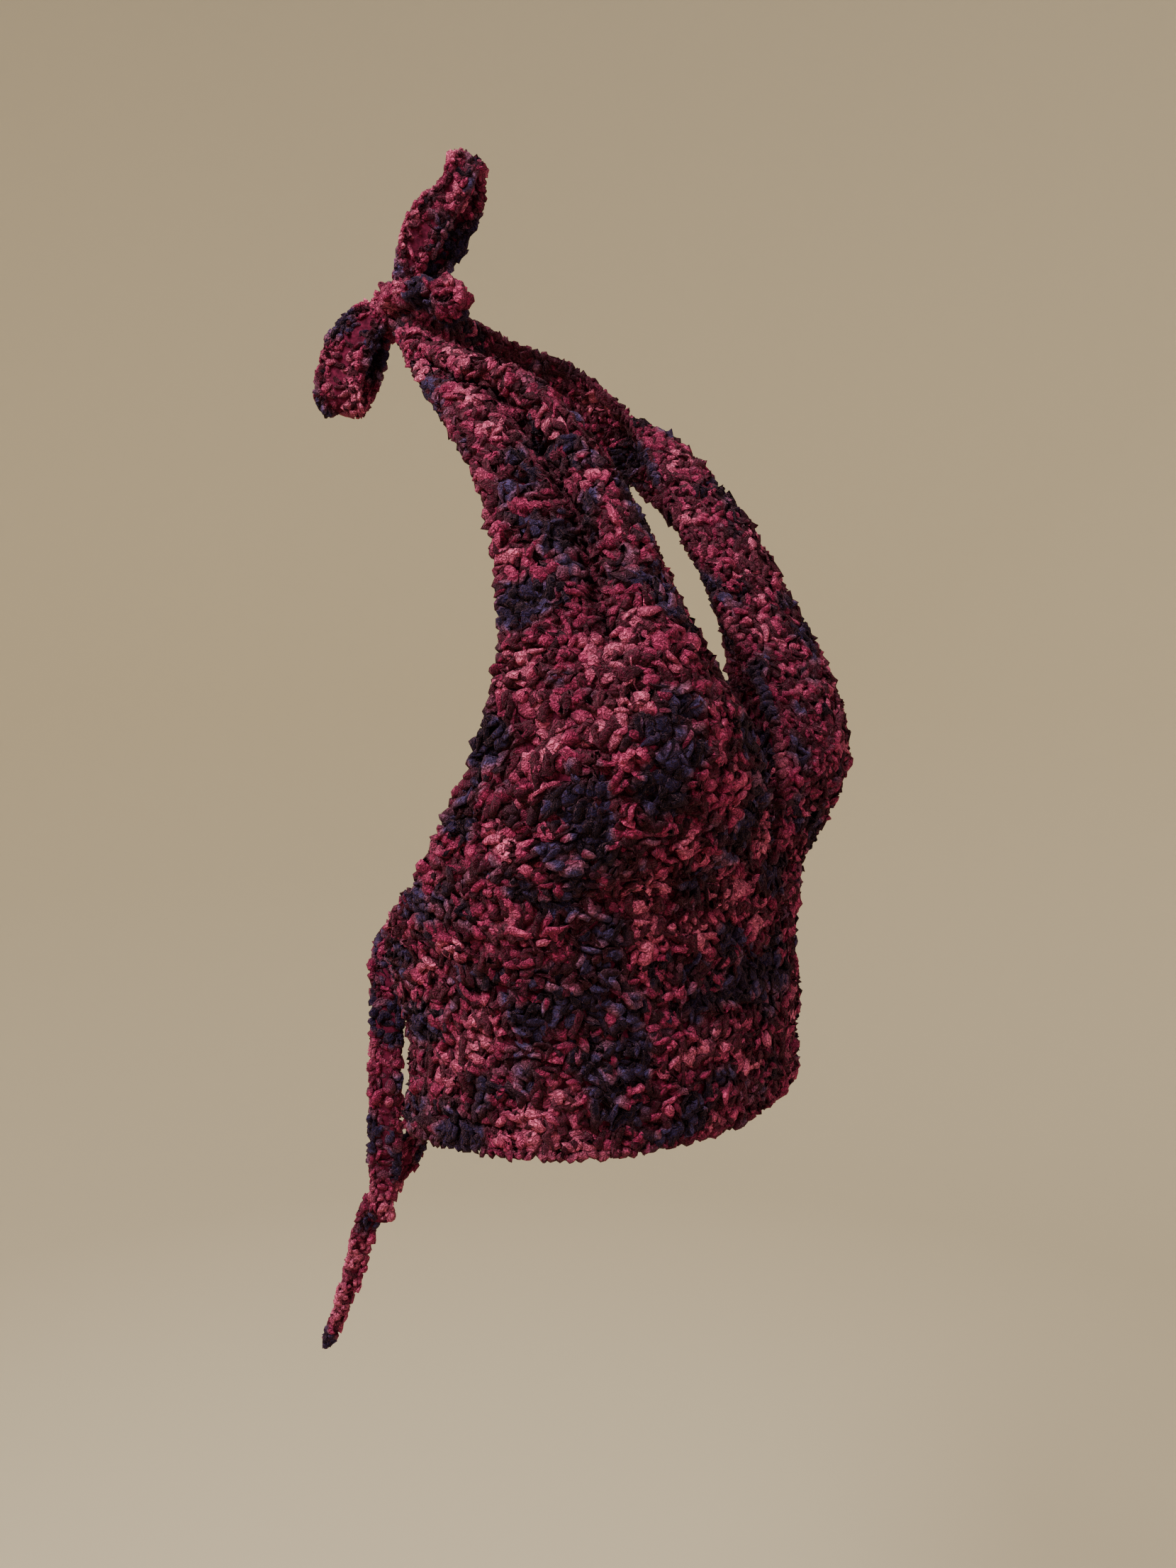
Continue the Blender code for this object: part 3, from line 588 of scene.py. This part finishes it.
def tube(points, normals, radii, roll, sides, rng):
    """Rings round the strand: flat, rolled this way and that, and fuzzy."""
    tangent = unit(np.gradient(points, axis=0))
    across = unit(np.cross(tangent, normals))
    out = np.cross(across, tangent)
    wide_way = across * np.cos(roll)[:, None] + out * np.sin(roll)[:, None]
    thin_way = out * np.cos(roll)[:, None] - across * np.sin(roll)[:, None]
    angle = (2.0 * np.pi * np.arange(sides) / sides)[None, :, None]
    ring = (wide_way[:, None, :] * FLATNESS[0] * np.cos(angle)
            + thin_way[:, None, :] * FLATNESS[1] * np.sin(angle))
    waver = rng.normal(0.0, FUZZ * MILLIMETRE, (len(points), sides, 1))
    return points[:, None, :] + ring * (radii[:, None, None] + waver)


def pool_shade(surface, u, points, pools):
    """How much darker or paler the dye is at each point, from the pools that are placed on a piece."""
    shade = np.zeros(len(points))
    for across, up, radius, change in pools:
        if up is None:
            away = (u - across) / radius
        else:
            centre = surface(np.array([across]), np.array([up]))
            away = np.linalg.norm(points - centre, axis=1) / radius
        shade += change * np.exp(-away ** 2)
    return shade


def strand_mesh(name, surface, side, strand, depth, yarn_from, sides, samples, facing=1.0, pools=(),
                sunk=None):
    """A mesh of the strand, with the yarn's length, the dye and the skin's height kept at each point; the
    height, lowered in creases, drives the painted shade and highlight.
    """
    curve = spline(strand, samples)
    u, v, under, radius, roll = curve.T
    normals = outward(surface, u, v, side)
    points = surface(u, v) - normals * (depth + under * facing)[:, None]
    radius = np.maximum(radius, THINNEST * MILLIMETRE)
    radius[0] = radius[-1] = TIP_RADIUS * MILLIMETRE
    skin = tube(points, normals, radius, roll, sides, np.random.default_rng(len(points)))
    index = np.arange(len(skin) * sides).reshape(len(skin), sides)
    following = np.roll(index, -1, axis=1)
    faces = np.stack([index[:-1], following[:-1], following[1:], index[1:]], axis=-1).reshape(-1, 4)
    mesh = bpy.data.meshes.new(name)
    mesh.from_pydata(skin.reshape(-1, 3).tolist(), [], faces.tolist())
    length = yarn_from + travelled(points)
    # The skin's height in the cloth drives the chenille's painted shade deep in it and painted highlight on
    # the puffs' tops
    height = ((skin - points[:, None, :]) * normals[:, None, :]).sum(axis=-1) * facing - under[:, None]
    # Painted shade in the creases and folds: their depth lowers the height
    if sunk:
        height -= (sunk(u, v) * CREASE_PAINTED_SHADE)[:, None]
    shade = pool_shade(surface, u, points, pools)
    for label, values in (("strand", np.repeat(length, sides)), ("shade", np.repeat(shade, sides)),
                          ("height", height.ravel())):
        attribute = mesh.attributes.new(label, "FLOAT", "POINT")
        attribute.data.foreach_set("value", values.astype(np.float32))
    mesh.shade_smooth()
    return mesh


def ground_mesh(name, surface, side, columns, rows, depth, across=(0.0, 1.0), up=(0.0, 1.0), closed=False):
    """The thin shell that the stitches are worked on."""
    grids = np.meshgrid(np.linspace(*across, columns + 1), np.linspace(*up, rows + 1))
    u, v = (grid.ravel() for grid in grids)
    points = surface(u, v) - outward(surface, u, v, side) * depth
    index = np.arange(len(points)).reshape(rows + 1, columns + 1)
    faces = np.stack([index[:-1, :-1], index[:-1, 1:], index[1:, 1:], index[1:, :-1]], axis=-1).reshape(-1, 4)
    mesh = bpy.data.meshes.new(name)
    mesh.from_pydata(points.tolist(), [], faces.tolist())
    net = bmesh.new()
    net.from_mesh(mesh)
    if closed:
        bmesh.ops.remove_doubles(net, verts=net.verts, dist=MERGE_DISTANCE)
        bmesh.ops.holes_fill(net, edges=net.edges, sides=0)
    bmesh.ops.recalc_face_normals(net, faces=net.faces)
    net.to_mesh(mesh)
    net.free()
    mesh.shade_smooth()
    return mesh


def new_piece(name, mesh, material):
    """Adds a mesh to the dressed part."""
    piece = bpy.data.objects.new(name, mesh)
    bpy.context.scene.collection.objects.link(piece)
    piece.data.materials.append(material)
    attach(piece, "root")
    return piece


class Nodes:
    """Short names for building a material's nodes."""

    def __init__(self, material):
        self.tree = material.node_tree
        self.shader = self.tree.nodes["Principled BSDF"]

    def add(self, kind, **values):
        node = self.tree.nodes.new(kind)
        for key, value in values.items():
            if hasattr(node, key):
                setattr(node, key, value)
            else:
                node.inputs[key.replace("_", " ")].default_value = value
        return node

    def link(self, source, target):
        self.tree.links.new(source, target)

    def maths(self, operation, first, second):
        node = self.add("ShaderNodeMath", operation=operation)
        for slot, value in enumerate((first, second)):
            if isinstance(value, (int, float)):
                node.inputs[slot].default_value = value
            else:
                self.link(value, node.inputs[slot])
        return node.outputs[0]

    def ramp(self, source, stops, interpolation="LINEAR"):
        node = self.add("ShaderNodeValToRGB")
        node.color_ramp.interpolation = interpolation
        while len(node.color_ramp.elements) < len(stops):
            node.color_ramp.elements.new(0.5)
        for element, (place, colour) in zip(node.color_ramp.elements, stops):
            element.position = place
            element.color = (*colour, 1.0)
        self.link(source, node.inputs[0])
        return node.outputs[0]

    def mix(self, blend, amount, first, second):
        node = self.add("ShaderNodeMix", data_type="RGBA", blend_type=blend)
        for slot, value in ((0, amount), (6, first), (7, second)):
            if isinstance(value, (int, float, tuple)):
                node.inputs[slot].default_value = value
            else:
                self.link(value, node.inputs[slot])
        return node.outputs[2]


# Yarn colours, in linear light
NAVY = (0.012, 0.008, 0.032)
INDIGO = (0.038, 0.026, 0.080)
MAUVE = (0.160, 0.052, 0.100)
WINE = (0.135, 0.008, 0.036)
BURGUNDY = (0.235, 0.020, 0.072)
RASPBERRY = (0.335, 0.040, 0.110)
ROSE = (0.440, 0.082, 0.165)
DYE_LENGTH = 0.16           # of yarn over which its colour changes
POOL_SIZE = 0.032           # of the patches in which the same colour meets in several rows
ALONG_SHARE = 0.34          # of the colour that comes from the place along the yarn
POOL_SHARE = 0.66           # and from the patch that it lies in
DYE_STOPS = [(0.37, NAVY), (0.415, INDIGO), (0.440, MAUVE), (0.475, WINE), (0.515, BURGUNDY),
             (0.555, RASPBERRY), (0.62, ROSE)]
POOLS = {
    # places on each piece where the dye is darker (below 0) or paler: along or across, up, radius in
    # metres, change; on a ribbon, up is None, and the radius is a share of its length
    "right_front_panel": [
        (0.82, 0.77, 0.011, -0.14), (0.77, 0.67, 0.009, -0.13), (0.82, 0.54, 0.005, -0.12),
        (0.52, 0.530, 0.014, -0.15), (0.77, 0.45, 0.011, -0.12), (0.55, 0.41, 0.008, -0.08),
        (0.73, 0.345, 0.006, -0.12), (0.46, 0.215, 0.014, -0.13), (0.55, 0.155, 0.012, -0.12),
        (0.73, 0.120, 0.012, -0.12), (0.79, 0.080, 0.012, -0.12), (0.62, 0.086, 0.010, -0.12),
        (0.05, 0.147, 0.013, -0.10), (0.96, 0.190, 0.010, -0.11), (0.12, 0.020, 0.011, -0.11),
        (0.60, 0.69, 0.016, 0.05), (0.64, 0.43, 0.013, 0.06), (0.72, 0.26, 0.026, 0.04),
        (0.20, 0.13, 0.012, 0.07)],
    "body_band": [
        (0.140, 0.79, 0.010, -0.12), (0.230, 0.68, 0.010, -0.11), (0.350, 0.90, 0.013, -0.10),
        (0.380, 0.73, 0.011, -0.11), (0.272, 0.57, 0.012, -0.11), (0.320, 0.45, 0.016, -0.12),
        (0.449, 0.79, 0.009, -0.11), (0.487, 0.59, 0.011, -0.12), (0.500, 0.41, 0.011, -0.10),
        (0.253, 0.23, 0.011, -0.12), (0.397, 0.12, 0.012, -0.12), (0.170, 0.05, 0.010, -0.10),
        (0.130, 0.58, 0.009, -0.11), (0.210, 0.30, 0.020, 0.05), (0.430, 0.32, 0.016, 0.05)],
    "neck_loop_upper": [(0.76, None, 0.22, -0.17), (0.50, None, 0.06, 0.04), (0.24, None, 0.16, 0.02)],
    "neck_knot": [(0.50, 0.50, 0.009, 0.04)],
    "neck_tail_curl": [(0.20, None, 0.14, 0.03), (0.45, None, 0.05, -0.14), (0.80, None, 0.10, -0.04)],
    "neck_loop_lower": [(0.50, None, 0.60, -0.035), (0.85, None, 0.12, -0.04)],
    "back_tie_end_near": [(0.36, None, 0.10, -0.12), (0.72, None, 0.08, -0.11)],
}


# Chenille's surface: brightness by a point's height in the cloth (painted shade deep in it, painted highlight
# at the puffs' tips), by its crumple's creases (painted shade in them, painted highlight between) and by its
# pile
HEIGHT_PAINTED_SHADE_SCALE = 200.0           # for each metre of height
HEIGHT_PAINTED_SHADE_MIDDLE = 0.40
# Painted shade deep in the cloth and a painted highlight on the puffs' outermost parts, by the yarn's height
HEIGHT_PAINTED_SHADE_STOPS = [(0.0, (0.20, 0.17, 0.19)), (0.45, (0.66, 0.63, 0.65)), (0.95, (1.26, 1.26, 1.26))]
# Painted shade in the crumple's creases and a painted highlight on the flakes between them
CRUMPLE_PAINTED_SHADE_STOPS = [(0.0, (0.26, 0.23, 0.25)), (0.030, (0.78, 0.76, 0.77)), (0.085, (1.22, 1.22, 1.22)),
              (0.18, (1.80, 1.80, 1.80))]
TIP_STOPS = [(0.35, (0.70, 0.70, 0.70)), (0.65, (1.30, 1.30, 1.30))]
# The ground's near-black wine is painted shade, where the stitches shade the cloth between them
GROUND_PAINTED_SHADE_STOPS = [(0.35, (0.045, 0.003, 0.014)), (0.70, (0.130, 0.010, 0.038))]
CRUMPLE_SCALE = 330.0       # of the noise for each metre
PILE_SCALE = 1300.0
GROUND_SCALE = 400.0
PILE_RELIEF = 0.18          # shares of the relief's height
CREASE_RELIEF = 2.0
RELIEF_HEIGHT = 0.0042
GROUND_RELIEF_HEIGHT = 0.001


def yarn_colour(nodes):
    """The dyed yarn's colour: it changes along the strand, and pools in patches."""
    strand = nodes.add("ShaderNodeAttribute", attribute_name="strand").outputs["Fac"]
    place = nodes.add("ShaderNodeTexCoord").outputs["Object"]
    along = nodes.add("ShaderNodeTexNoise", noise_dimensions="1D", Scale=1.0 / DYE_LENGTH, Detail=0.5)
    nodes.link(strand, along.inputs["W"])
    pool = nodes.add("ShaderNodeTexNoise", Scale=1.0 / POOL_SIZE, Detail=1.5)
    nodes.link(place, pool.inputs["Vector"])
    dye = nodes.maths("ADD", nodes.maths("MULTIPLY", along.outputs["Fac"], ALONG_SHARE),
                      nodes.maths("MULTIPLY", pool.outputs["Fac"], POOL_SHARE))
    shade = nodes.add("ShaderNodeAttribute", attribute_name="shade").outputs["Fac"]
    return nodes.ramp(nodes.maths("ADD", dye, shade), DYE_STOPS)


def chenille():
    """Velvety pile: crumpled, with painted shade in the crumple's creases and painted highlight between them,
    a painted highlight at the tips of the puffs and painted shade deep in the cloth.
    """
    material = bpy.data.materials.new("chenille")
    material.use_nodes = True
    nodes = Nodes(material)
    place = nodes.add("ShaderNodeTexCoord").outputs["Object"]
    height = nodes.add("ShaderNodeAttribute", attribute_name="height").outputs["Fac"]
    crumple = nodes.add("ShaderNodeTexNoise", Scale=CRUMPLE_SCALE, Detail=3.0, Distortion=0.8)
    nodes.link(place, crumple.inputs["Vector"])
    pile = nodes.add("ShaderNodeTexNoise", Scale=PILE_SCALE, Detail=2.0)
    nodes.link(place, pile.inputs["Vector"])
    # Painted shade and highlight by the yarn's height in the cloth
    painted_light_by_height = nodes.ramp(nodes.maths("ADD", nodes.maths("MULTIPLY", height, HEIGHT_PAINTED_SHADE_SCALE), HEIGHT_PAINTED_SHADE_MIDDLE), HEIGHT_PAINTED_SHADE_STOPS)
    shaded = nodes.mix("MULTIPLY", 1.0, yarn_colour(nodes), painted_light_by_height)
    crease = nodes.maths("ABSOLUTE", nodes.maths("SUBTRACT", crumple.outputs["Fac"], 0.5), 0.0)
    # Painted shade in the crumple's creases and a painted highlight between them
    crumple_painted = nodes.mix("MULTIPLY", 1.0, shaded, nodes.ramp(crease, CRUMPLE_PAINTED_SHADE_STOPS))
    tips = nodes.ramp(pile.outputs["Fac"], TIP_STOPS)
    nodes.link(nodes.mix("MULTIPLY", 1.0, crumple_painted, tips), nodes.shader.inputs["Base Color"])
    relief = nodes.maths("ADD", nodes.maths("MULTIPLY", pile.outputs["Fac"], PILE_RELIEF),
                         nodes.maths("MULTIPLY", crease, CREASE_RELIEF))
    bump = nodes.add("ShaderNodeBump", Strength=1.0, Distance=RELIEF_HEIGHT)
    nodes.link(relief, bump.inputs["Height"])
    nodes.link(bump.outputs["Normal"], nodes.shader.inputs["Normal"])
    nodes.shader.inputs["Roughness"].default_value = 0.80
    nodes.shader.inputs["Sheen Weight"].default_value = 0.13
    nodes.shader.inputs["Sheen Roughness"].default_value = 0.45
    nodes.shader.inputs["Sheen Tint"].default_value = (0.80, 0.36, 0.48, 1.0)
    nodes.shader.inputs["Specular IOR Level"].default_value = 0.06
    return material


def ground_cloth():
    """What shows between the stitches: the real ground cloth, coloured as the same pile darkened by painted
    shade.
    """
    material = bpy.data.materials.new("chenille_ground")
    material.use_nodes = True
    nodes = Nodes(material)
    place = nodes.add("ShaderNodeTexCoord").outputs["Object"]
    pile = nodes.add("ShaderNodeTexNoise", Scale=GROUND_SCALE, Detail=3.0)
    nodes.link(place, pile.inputs["Vector"])
    nodes.link(nodes.ramp(pile.outputs["Fac"], GROUND_PAINTED_SHADE_STOPS), nodes.shader.inputs["Base Color"])
    bump = nodes.add("ShaderNodeBump", Strength=0.6, Distance=GROUND_RELIEF_HEIGHT)
    nodes.link(pile.outputs["Fac"], bump.inputs["Height"])
    nodes.link(bump.outputs["Normal"], nodes.shader.inputs["Normal"])
    nodes.shader.inputs["Roughness"].default_value = 0.95
    nodes.shader.inputs["Specular IOR Level"].default_value = 0.1
    return material


def make_camera():
    """Sets up the camera, and gives its directions right, up and forward."""
    turn, pitch, roll = np.radians([CAMERA_TURN, CAMERA_PITCH, CAMERA_ROLL])
    forward = np.array([np.sin(turn) * np.cos(pitch), np.cos(turn) * np.cos(pitch), np.sin(pitch)])
    level = np.array([np.cos(turn), -np.sin(turn), 0.0])
    above = np.cross(level, forward)
    right = level * np.cos(roll) + above * np.sin(roll)
    up = above * np.cos(roll) - level * np.sin(roll)
    camera = bpy.data.objects.new("camera", bpy.data.cameras.new("camera"))
    bpy.context.scene.collection.objects.link(camera)
    turned = Matrix([Vector(right), Vector(up), Vector(-forward)]).transposed()
    camera.matrix_world = Matrix.Translation(CAMERA_PLACE) @ turned.to_4x4()
    camera.data.sensor_fit = "VERTICAL"
    camera.data.sensor_height = SENSOR_HEIGHT
    camera.data.lens = FOCAL_PIXELS * SENSOR_HEIGHT / IMAGE_SIZE[1]
    camera.data.clip_start = 0.01
    bpy.context.scene.camera = camera
    return right, up, forward


# Studio: a pale floor that curves up into a round backdrop, and soft lights
FLOOR_Z = -1.40             # of the floor, under an origin that is at the nape
STUDIO_RADIUS = 3.2
COVE_RADIUS = 1.2
STUDIO_HEIGHT = 4.2
STUDIO_TURNS = 64
COVE_STEPS = 12
FLOOR_RADII = (0.02, 1.0)
BACKDROP_COLOUR = (0.66, 0.58, 0.43)
LIGHTS_AIM = (-0.02, -0.09, -0.25)
LIGHTS = [
    # name, metres forward, right and up from the aim, size, power, colour
    ("key", -1.1, -0.9, 1.3, 0.9, 62.0, (1.0, 0.95, 0.88)),
    ("fill", -1.3, 1.5, 0.3, 1.6, 10.0, (1.0, 0.96, 0.92)),
    ("rim", 1.2, -0.6, 1.4, 1.2, 14.0, (1.0, 0.97, 0.93)),
]
SOFT_LIGHT_COLOUR = (1.0, 0.97, 0.92, 1.0)
SOFT_LIGHT_STRENGTH = 0.62


def make_studio():
    """Turns the floor and backdrop from one profile round the upright axis."""
    arc = [(STUDIO_RADIUS - COVE_RADIUS * (1 - np.sin(a)), FLOOR_Z + COVE_RADIUS * (1 - np.cos(a)))
           for a in np.linspace(0.0, np.pi / 2, COVE_STEPS)]
    floor = [(radius, FLOOR_Z) for radius in FLOOR_RADII]
    profile = floor + arc + [(STUDIO_RADIUS, FLOOR_Z + STUDIO_HEIGHT)]
    turns = np.linspace(0.0, 2 * np.pi, STUDIO_TURNS + 1)[:-1]
    net = bmesh.new()
    rings = [[net.verts.new((r * np.cos(a), r * np.sin(a), z)) for a in turns] for r, z in profile]
    for low, high in zip(rings, rings[1:]):
        for k in range(len(turns)):
            j = (k + 1) % len(turns)
            net.faces.new((low[k], low[j], high[j], high[k]))
    net.faces.new(rings[0])
    bmesh.ops.recalc_face_normals(net, faces=net.faces)
    mesh = bpy.data.meshes.new("studio")
    net.to_mesh(mesh)
    net.free()
    mesh.shade_smooth()
    studio = bpy.data.objects.new("studio", mesh)
    bpy.context.scene.collection.objects.link(studio)
    material = bpy.data.materials.new("backdrop")
    material.use_nodes = True
    shader = material.node_tree.nodes["Principled BSDF"]
    shader.inputs["Base Color"].default_value = (*BACKDROP_COLOUR, 1.0)
    shader.inputs["Roughness"].default_value = 0.95
    shader.inputs["Specular IOR Level"].default_value = 0.1
    studio.data.materials.append(material)


def area_light(name, place, aim, size, power, colour):
    """A round soft light, turned to its aim."""
    light = bpy.data.lights.new(name, "AREA")
    light.shape = "DISK"
    light.size = size
    light.energy = power
    light.color = colour
    lamp = bpy.data.objects.new(name, light)
    lamp.location = place
    lamp.rotation_euler = (Vector(aim) - Vector(place)).to_track_quat("-Z", "Y").to_euler()
    bpy.context.scene.collection.objects.link(lamp)


def make_lights(right, up, forward):
    """Three soft lights placed in the camera's directions, and an even soft light all round."""
    middle = np.array(LIGHTS_AIM)
    for name, ahead, aside, above, size, power, colour in LIGHTS:
        area_light(name, middle + forward * ahead + right * aside + up * above, middle, size, power, colour)
    world = bpy.data.worlds.new("soft_light")
    bpy.context.scene.world = world
    world.use_nodes = True
    background = world.node_tree.nodes["Background"]
    background.inputs["Color"].default_value = SOFT_LIGHT_COLOUR
    background.inputs["Strength"].default_value = SOFT_LIGHT_STRENGTH


yarn = chenille()
ground = ground_cloth()
camera_axes = make_camera()
make_studio()
make_lights(*camera_axes)

# Shells and stitches of each kind of piece
YARN_APART = {"stitches": 31.0, "inner": 7.0, "edge": 3.0, "lengthwise": 5.0}   # metres between strands' dye
RIBBON_SHELL_STEP = 0.005
RIBBON_SHELL_SIDES = 12
RIBBON_LEAST_COLUMNS = 8
RIBBON_SPAN = (0.01, 0.99)
KNOT_SEGMENTS = (24, 12)
KNOT_ROWS = 5
KNOT_SPAN = (0.08, 0.92)


def work_sheet(node, surface, rows, columns, seed, edges, side=1.0, hem=EDGE_INSET, pieces=1,
               creases=(), sunk=None):
    """A cloth wall: its ground shell, its outer stitches, the inner side's, and those on its free edges."""
    rng = np.random.default_rng(seed)
    pools = POOLS.get(node, ())
    shares = np.linspace(0.0, 1.0, SIZE_SAMPLES)
    halfway = np.full(SIZE_SAMPLES, 0.5)
    height = travelled(surface(halfway, shares))[-1]
    width = travelled(surface(shares, halfway))[-1]
    across = (EDGE_GROUND_INSET / width, 1.0 - EDGE_GROUND_INSET / width)
    shell_up = (hem / height * 2, 1.0)      # the shell stops short of the lowest stitches
    shell_mesh = ground_mesh(node + "_ground", surface, side, columns, rows * 2, GROUND_DEPTH, across,
                             shell_up)
    shell = new_piece(node + "_ground", shell_mesh, ground)
    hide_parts(node)
    along = (EDGE_INSET / width, 1.0 - EDGE_INSET / width)
    up = (hem / height, 1.0)
    strand = stitch_rows(surface, rows, OUTER_PUFFS, rng, along, up)
    for part, some in enumerate(np.array_split(strand, pieces)):
        name = f"{node}_stitches_{part + 1}" if pieces > 1 else f"{node}_stitches"
        mesh = strand_mesh(name, surface, side, some, YARN_DEPTH, seed + YARN_APART["stitches"] * part,
                           pools=pools, sunk=sunk, **OUTER_YARN)
        new_piece(name, mesh, yarn)
    strand = stitch_rows(surface, rows, INNER_PUFFS, rng, along, up)
    name = node + "_inner_stitches"
    mesh = strand_mesh(name, surface, side, strand, LINING_DEPTH, seed + YARN_APART["inner"], facing=-1.0,
                       pools=pools, **INNER_YARN)
    new_piece(name, mesh, yarn)
    for part, strand in enumerate(edge_rows(surface, edges(width, height), rng)):
        name = f"{node}_edge_{part + 1}"
        mesh = strand_mesh(name, surface, side, strand, 0.0, seed + YARN_APART["edge"] * part, pools=pools,
                           **OUTER_YARN)
        new_piece(name, mesh, yarn)
    lengthwise = [lambda a, d, place=place: (np.full_like(a, place) + d / width,
                                             np.interp(a, (0.0, 1.0), LENGTHWISE_SPAN)) for place in creases]
    for part, strand in enumerate(edge_rows(surface, lengthwise, rng, LENGTHWISE_STEP, LENGTHWISE_PUFFS)):
        name = f"{node}_lengthwise_{part + 1}"
        mesh = strand_mesh(name, surface, side, strand, YARN_DEPTH, seed + YARN_APART["lengthwise"] * part,
                           pools=pools, sunk=sunk, **OUTER_YARN)
        new_piece(name, mesh, yarn)


def work_ribbon(node, route, across, seed):
    """A strap or tie: a flat tube of ground with lengthwise rows of stitches round it."""
    rng = np.random.default_rng(seed)
    surface, length = ribbon_surface(route, across)
    widths = [row[3] for row in route]
    columns = max(RIBBON_LEAST_COLUMNS, round(length / RIBBON_SHELL_STEP))
    shell_mesh = ground_mesh(node + "_ground", surface, -1.0, columns, RIBBON_SHELL_SIDES,
                             RIBBON_GROUND_DEPTH, closed=True)
    shell = new_piece(node + "_ground", shell_mesh, ground)
    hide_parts(node)
    rows = round(2.0 * (max(widths) + route[-1][4]) / RIBBON_ROW_HEIGHT)
    strand = stitch_rows(surface, rows, OUTER_PUFFS, rng, RIBBON_SPAN, size=RIBBON_PUFF_SIZE)
    mesh = strand_mesh(node + "_stitches", surface, -1.0, strand, YARN_DEPTH, float(seed),
                       pools=POOLS.get(node, ()), **RIBBON_YARN)
    stitches = new_piece(node + "_stitches", mesh, yarn)


def work_knot(node, centre, radii, seed):
    """A knot: a lumpy ball wrapped in stitches."""
    rng = np.random.default_rng(seed)
    surface = knot_surface(centre, radii)
    shell_mesh = ground_mesh(node + "_ground", surface, 1.0, *KNOT_SEGMENTS, RIBBON_GROUND_DEPTH,
                             closed=True)
    shell = new_piece(node + "_ground", shell_mesh, ground)
    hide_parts(node)
    strand = stitch_rows(surface, KNOT_ROWS, OUTER_PUFFS, rng, (0.0, 1.0), KNOT_SPAN, RIBBON_PUFF_SIZE)
    mesh = strand_mesh(node + "_stitches", surface, 1.0, strand, YARN_DEPTH, float(seed),
                       pools=POOLS.get(node, ()), **OUTER_YARN)
    new_piece(node + "_stitches", mesh, yarn)


def band_edges(width, height):
    """The band's free edges: hem, both back edges and the top behind each armhole."""
    corner = 0.5 * (1.0 - SEAM_END / BAND_TOP_END)
    return [lambda a, d: (a, np.full_like(a, 0.0) + d / height),
            lambda a, d: (np.full_like(a, 0.0) + d / width, a),
            lambda a, d: (np.full_like(a, 1.0) - d / width, a),
            lambda a, d: (a * corner, np.full_like(a, 1.0) - d / height),
            lambda a, d: (1.0 - a * corner, np.full_like(a, 1.0) - d / height)]


def panel_edges(width, height):
    """A panel's free edges: the neckline and the armhole."""
    return [lambda a, d: (np.full_like(a, 0.0) + d / width, a),
            lambda a, d: (np.full_like(a, 1.0) - d / width, a)]


BAND_ROWS = 11
BAND_COLUMNS = 140
PANEL_COLUMNS = 44

# Each piece has its own seed, the whole number that its random draws start from
work_sheet("body_band", band_surface, BAND_ROWS, BAND_COLUMNS, 3, band_edges, pieces=2,
           sunk=band_sunk)
for name, side, strap_rows, seed in (("right_front_panel", -1, RIGHT_STRAP_ROWS, 5),
                                     ("left_front_panel", 1, LEFT_STRAP_ROWS, 8)):
    surface, length, sunk = panel_surface(side, strap_rows)
    rows = round(length / ROW_HEIGHT)
    creases = LENGTHWISE_PLACES if side < 0 else ()
    work_sheet(name, surface, rows, PANEL_COLUMNS, seed, panel_edges,
               side, hem=0.0, creases=creases, sunk=sunk)

work_knot("neck_knot", NECK_KNOT, NECK_KNOT_RADII, 11)
work_knot("back_knot", BACK_KNOT, BACK_KNOT_RADII, 12)
work_ribbon("neck_loop_upper", loop_route(UPPER_LOOP, UPPER_LOOP_ACROSS), UPPER_LOOP_ACROSS, 21)
work_ribbon("neck_loop_lower", loop_route(LOWER_LOOP, LOWER_LOOP_ACROSS), LOWER_LOOP_ACROSS, 22)
work_ribbon("neck_tail_curl", curl_route(), CURL_ACROSS, 23)
work_ribbon("back_tie_right", tie_route(-1, TIE_RIGHT_ROUTE), UPRIGHT, 24)
work_ribbon("back_tie_left", tie_route(1, TIE_LEFT_ROUTE), UPRIGHT, 25)
work_ribbon("back_tie_end_near", NEAR_END_ROUTE, NEAR_END_ACROSS, 26)
work_ribbon("back_tie_end_far", FAR_END_ROUTE, FAR_END_ACROSS, 27)
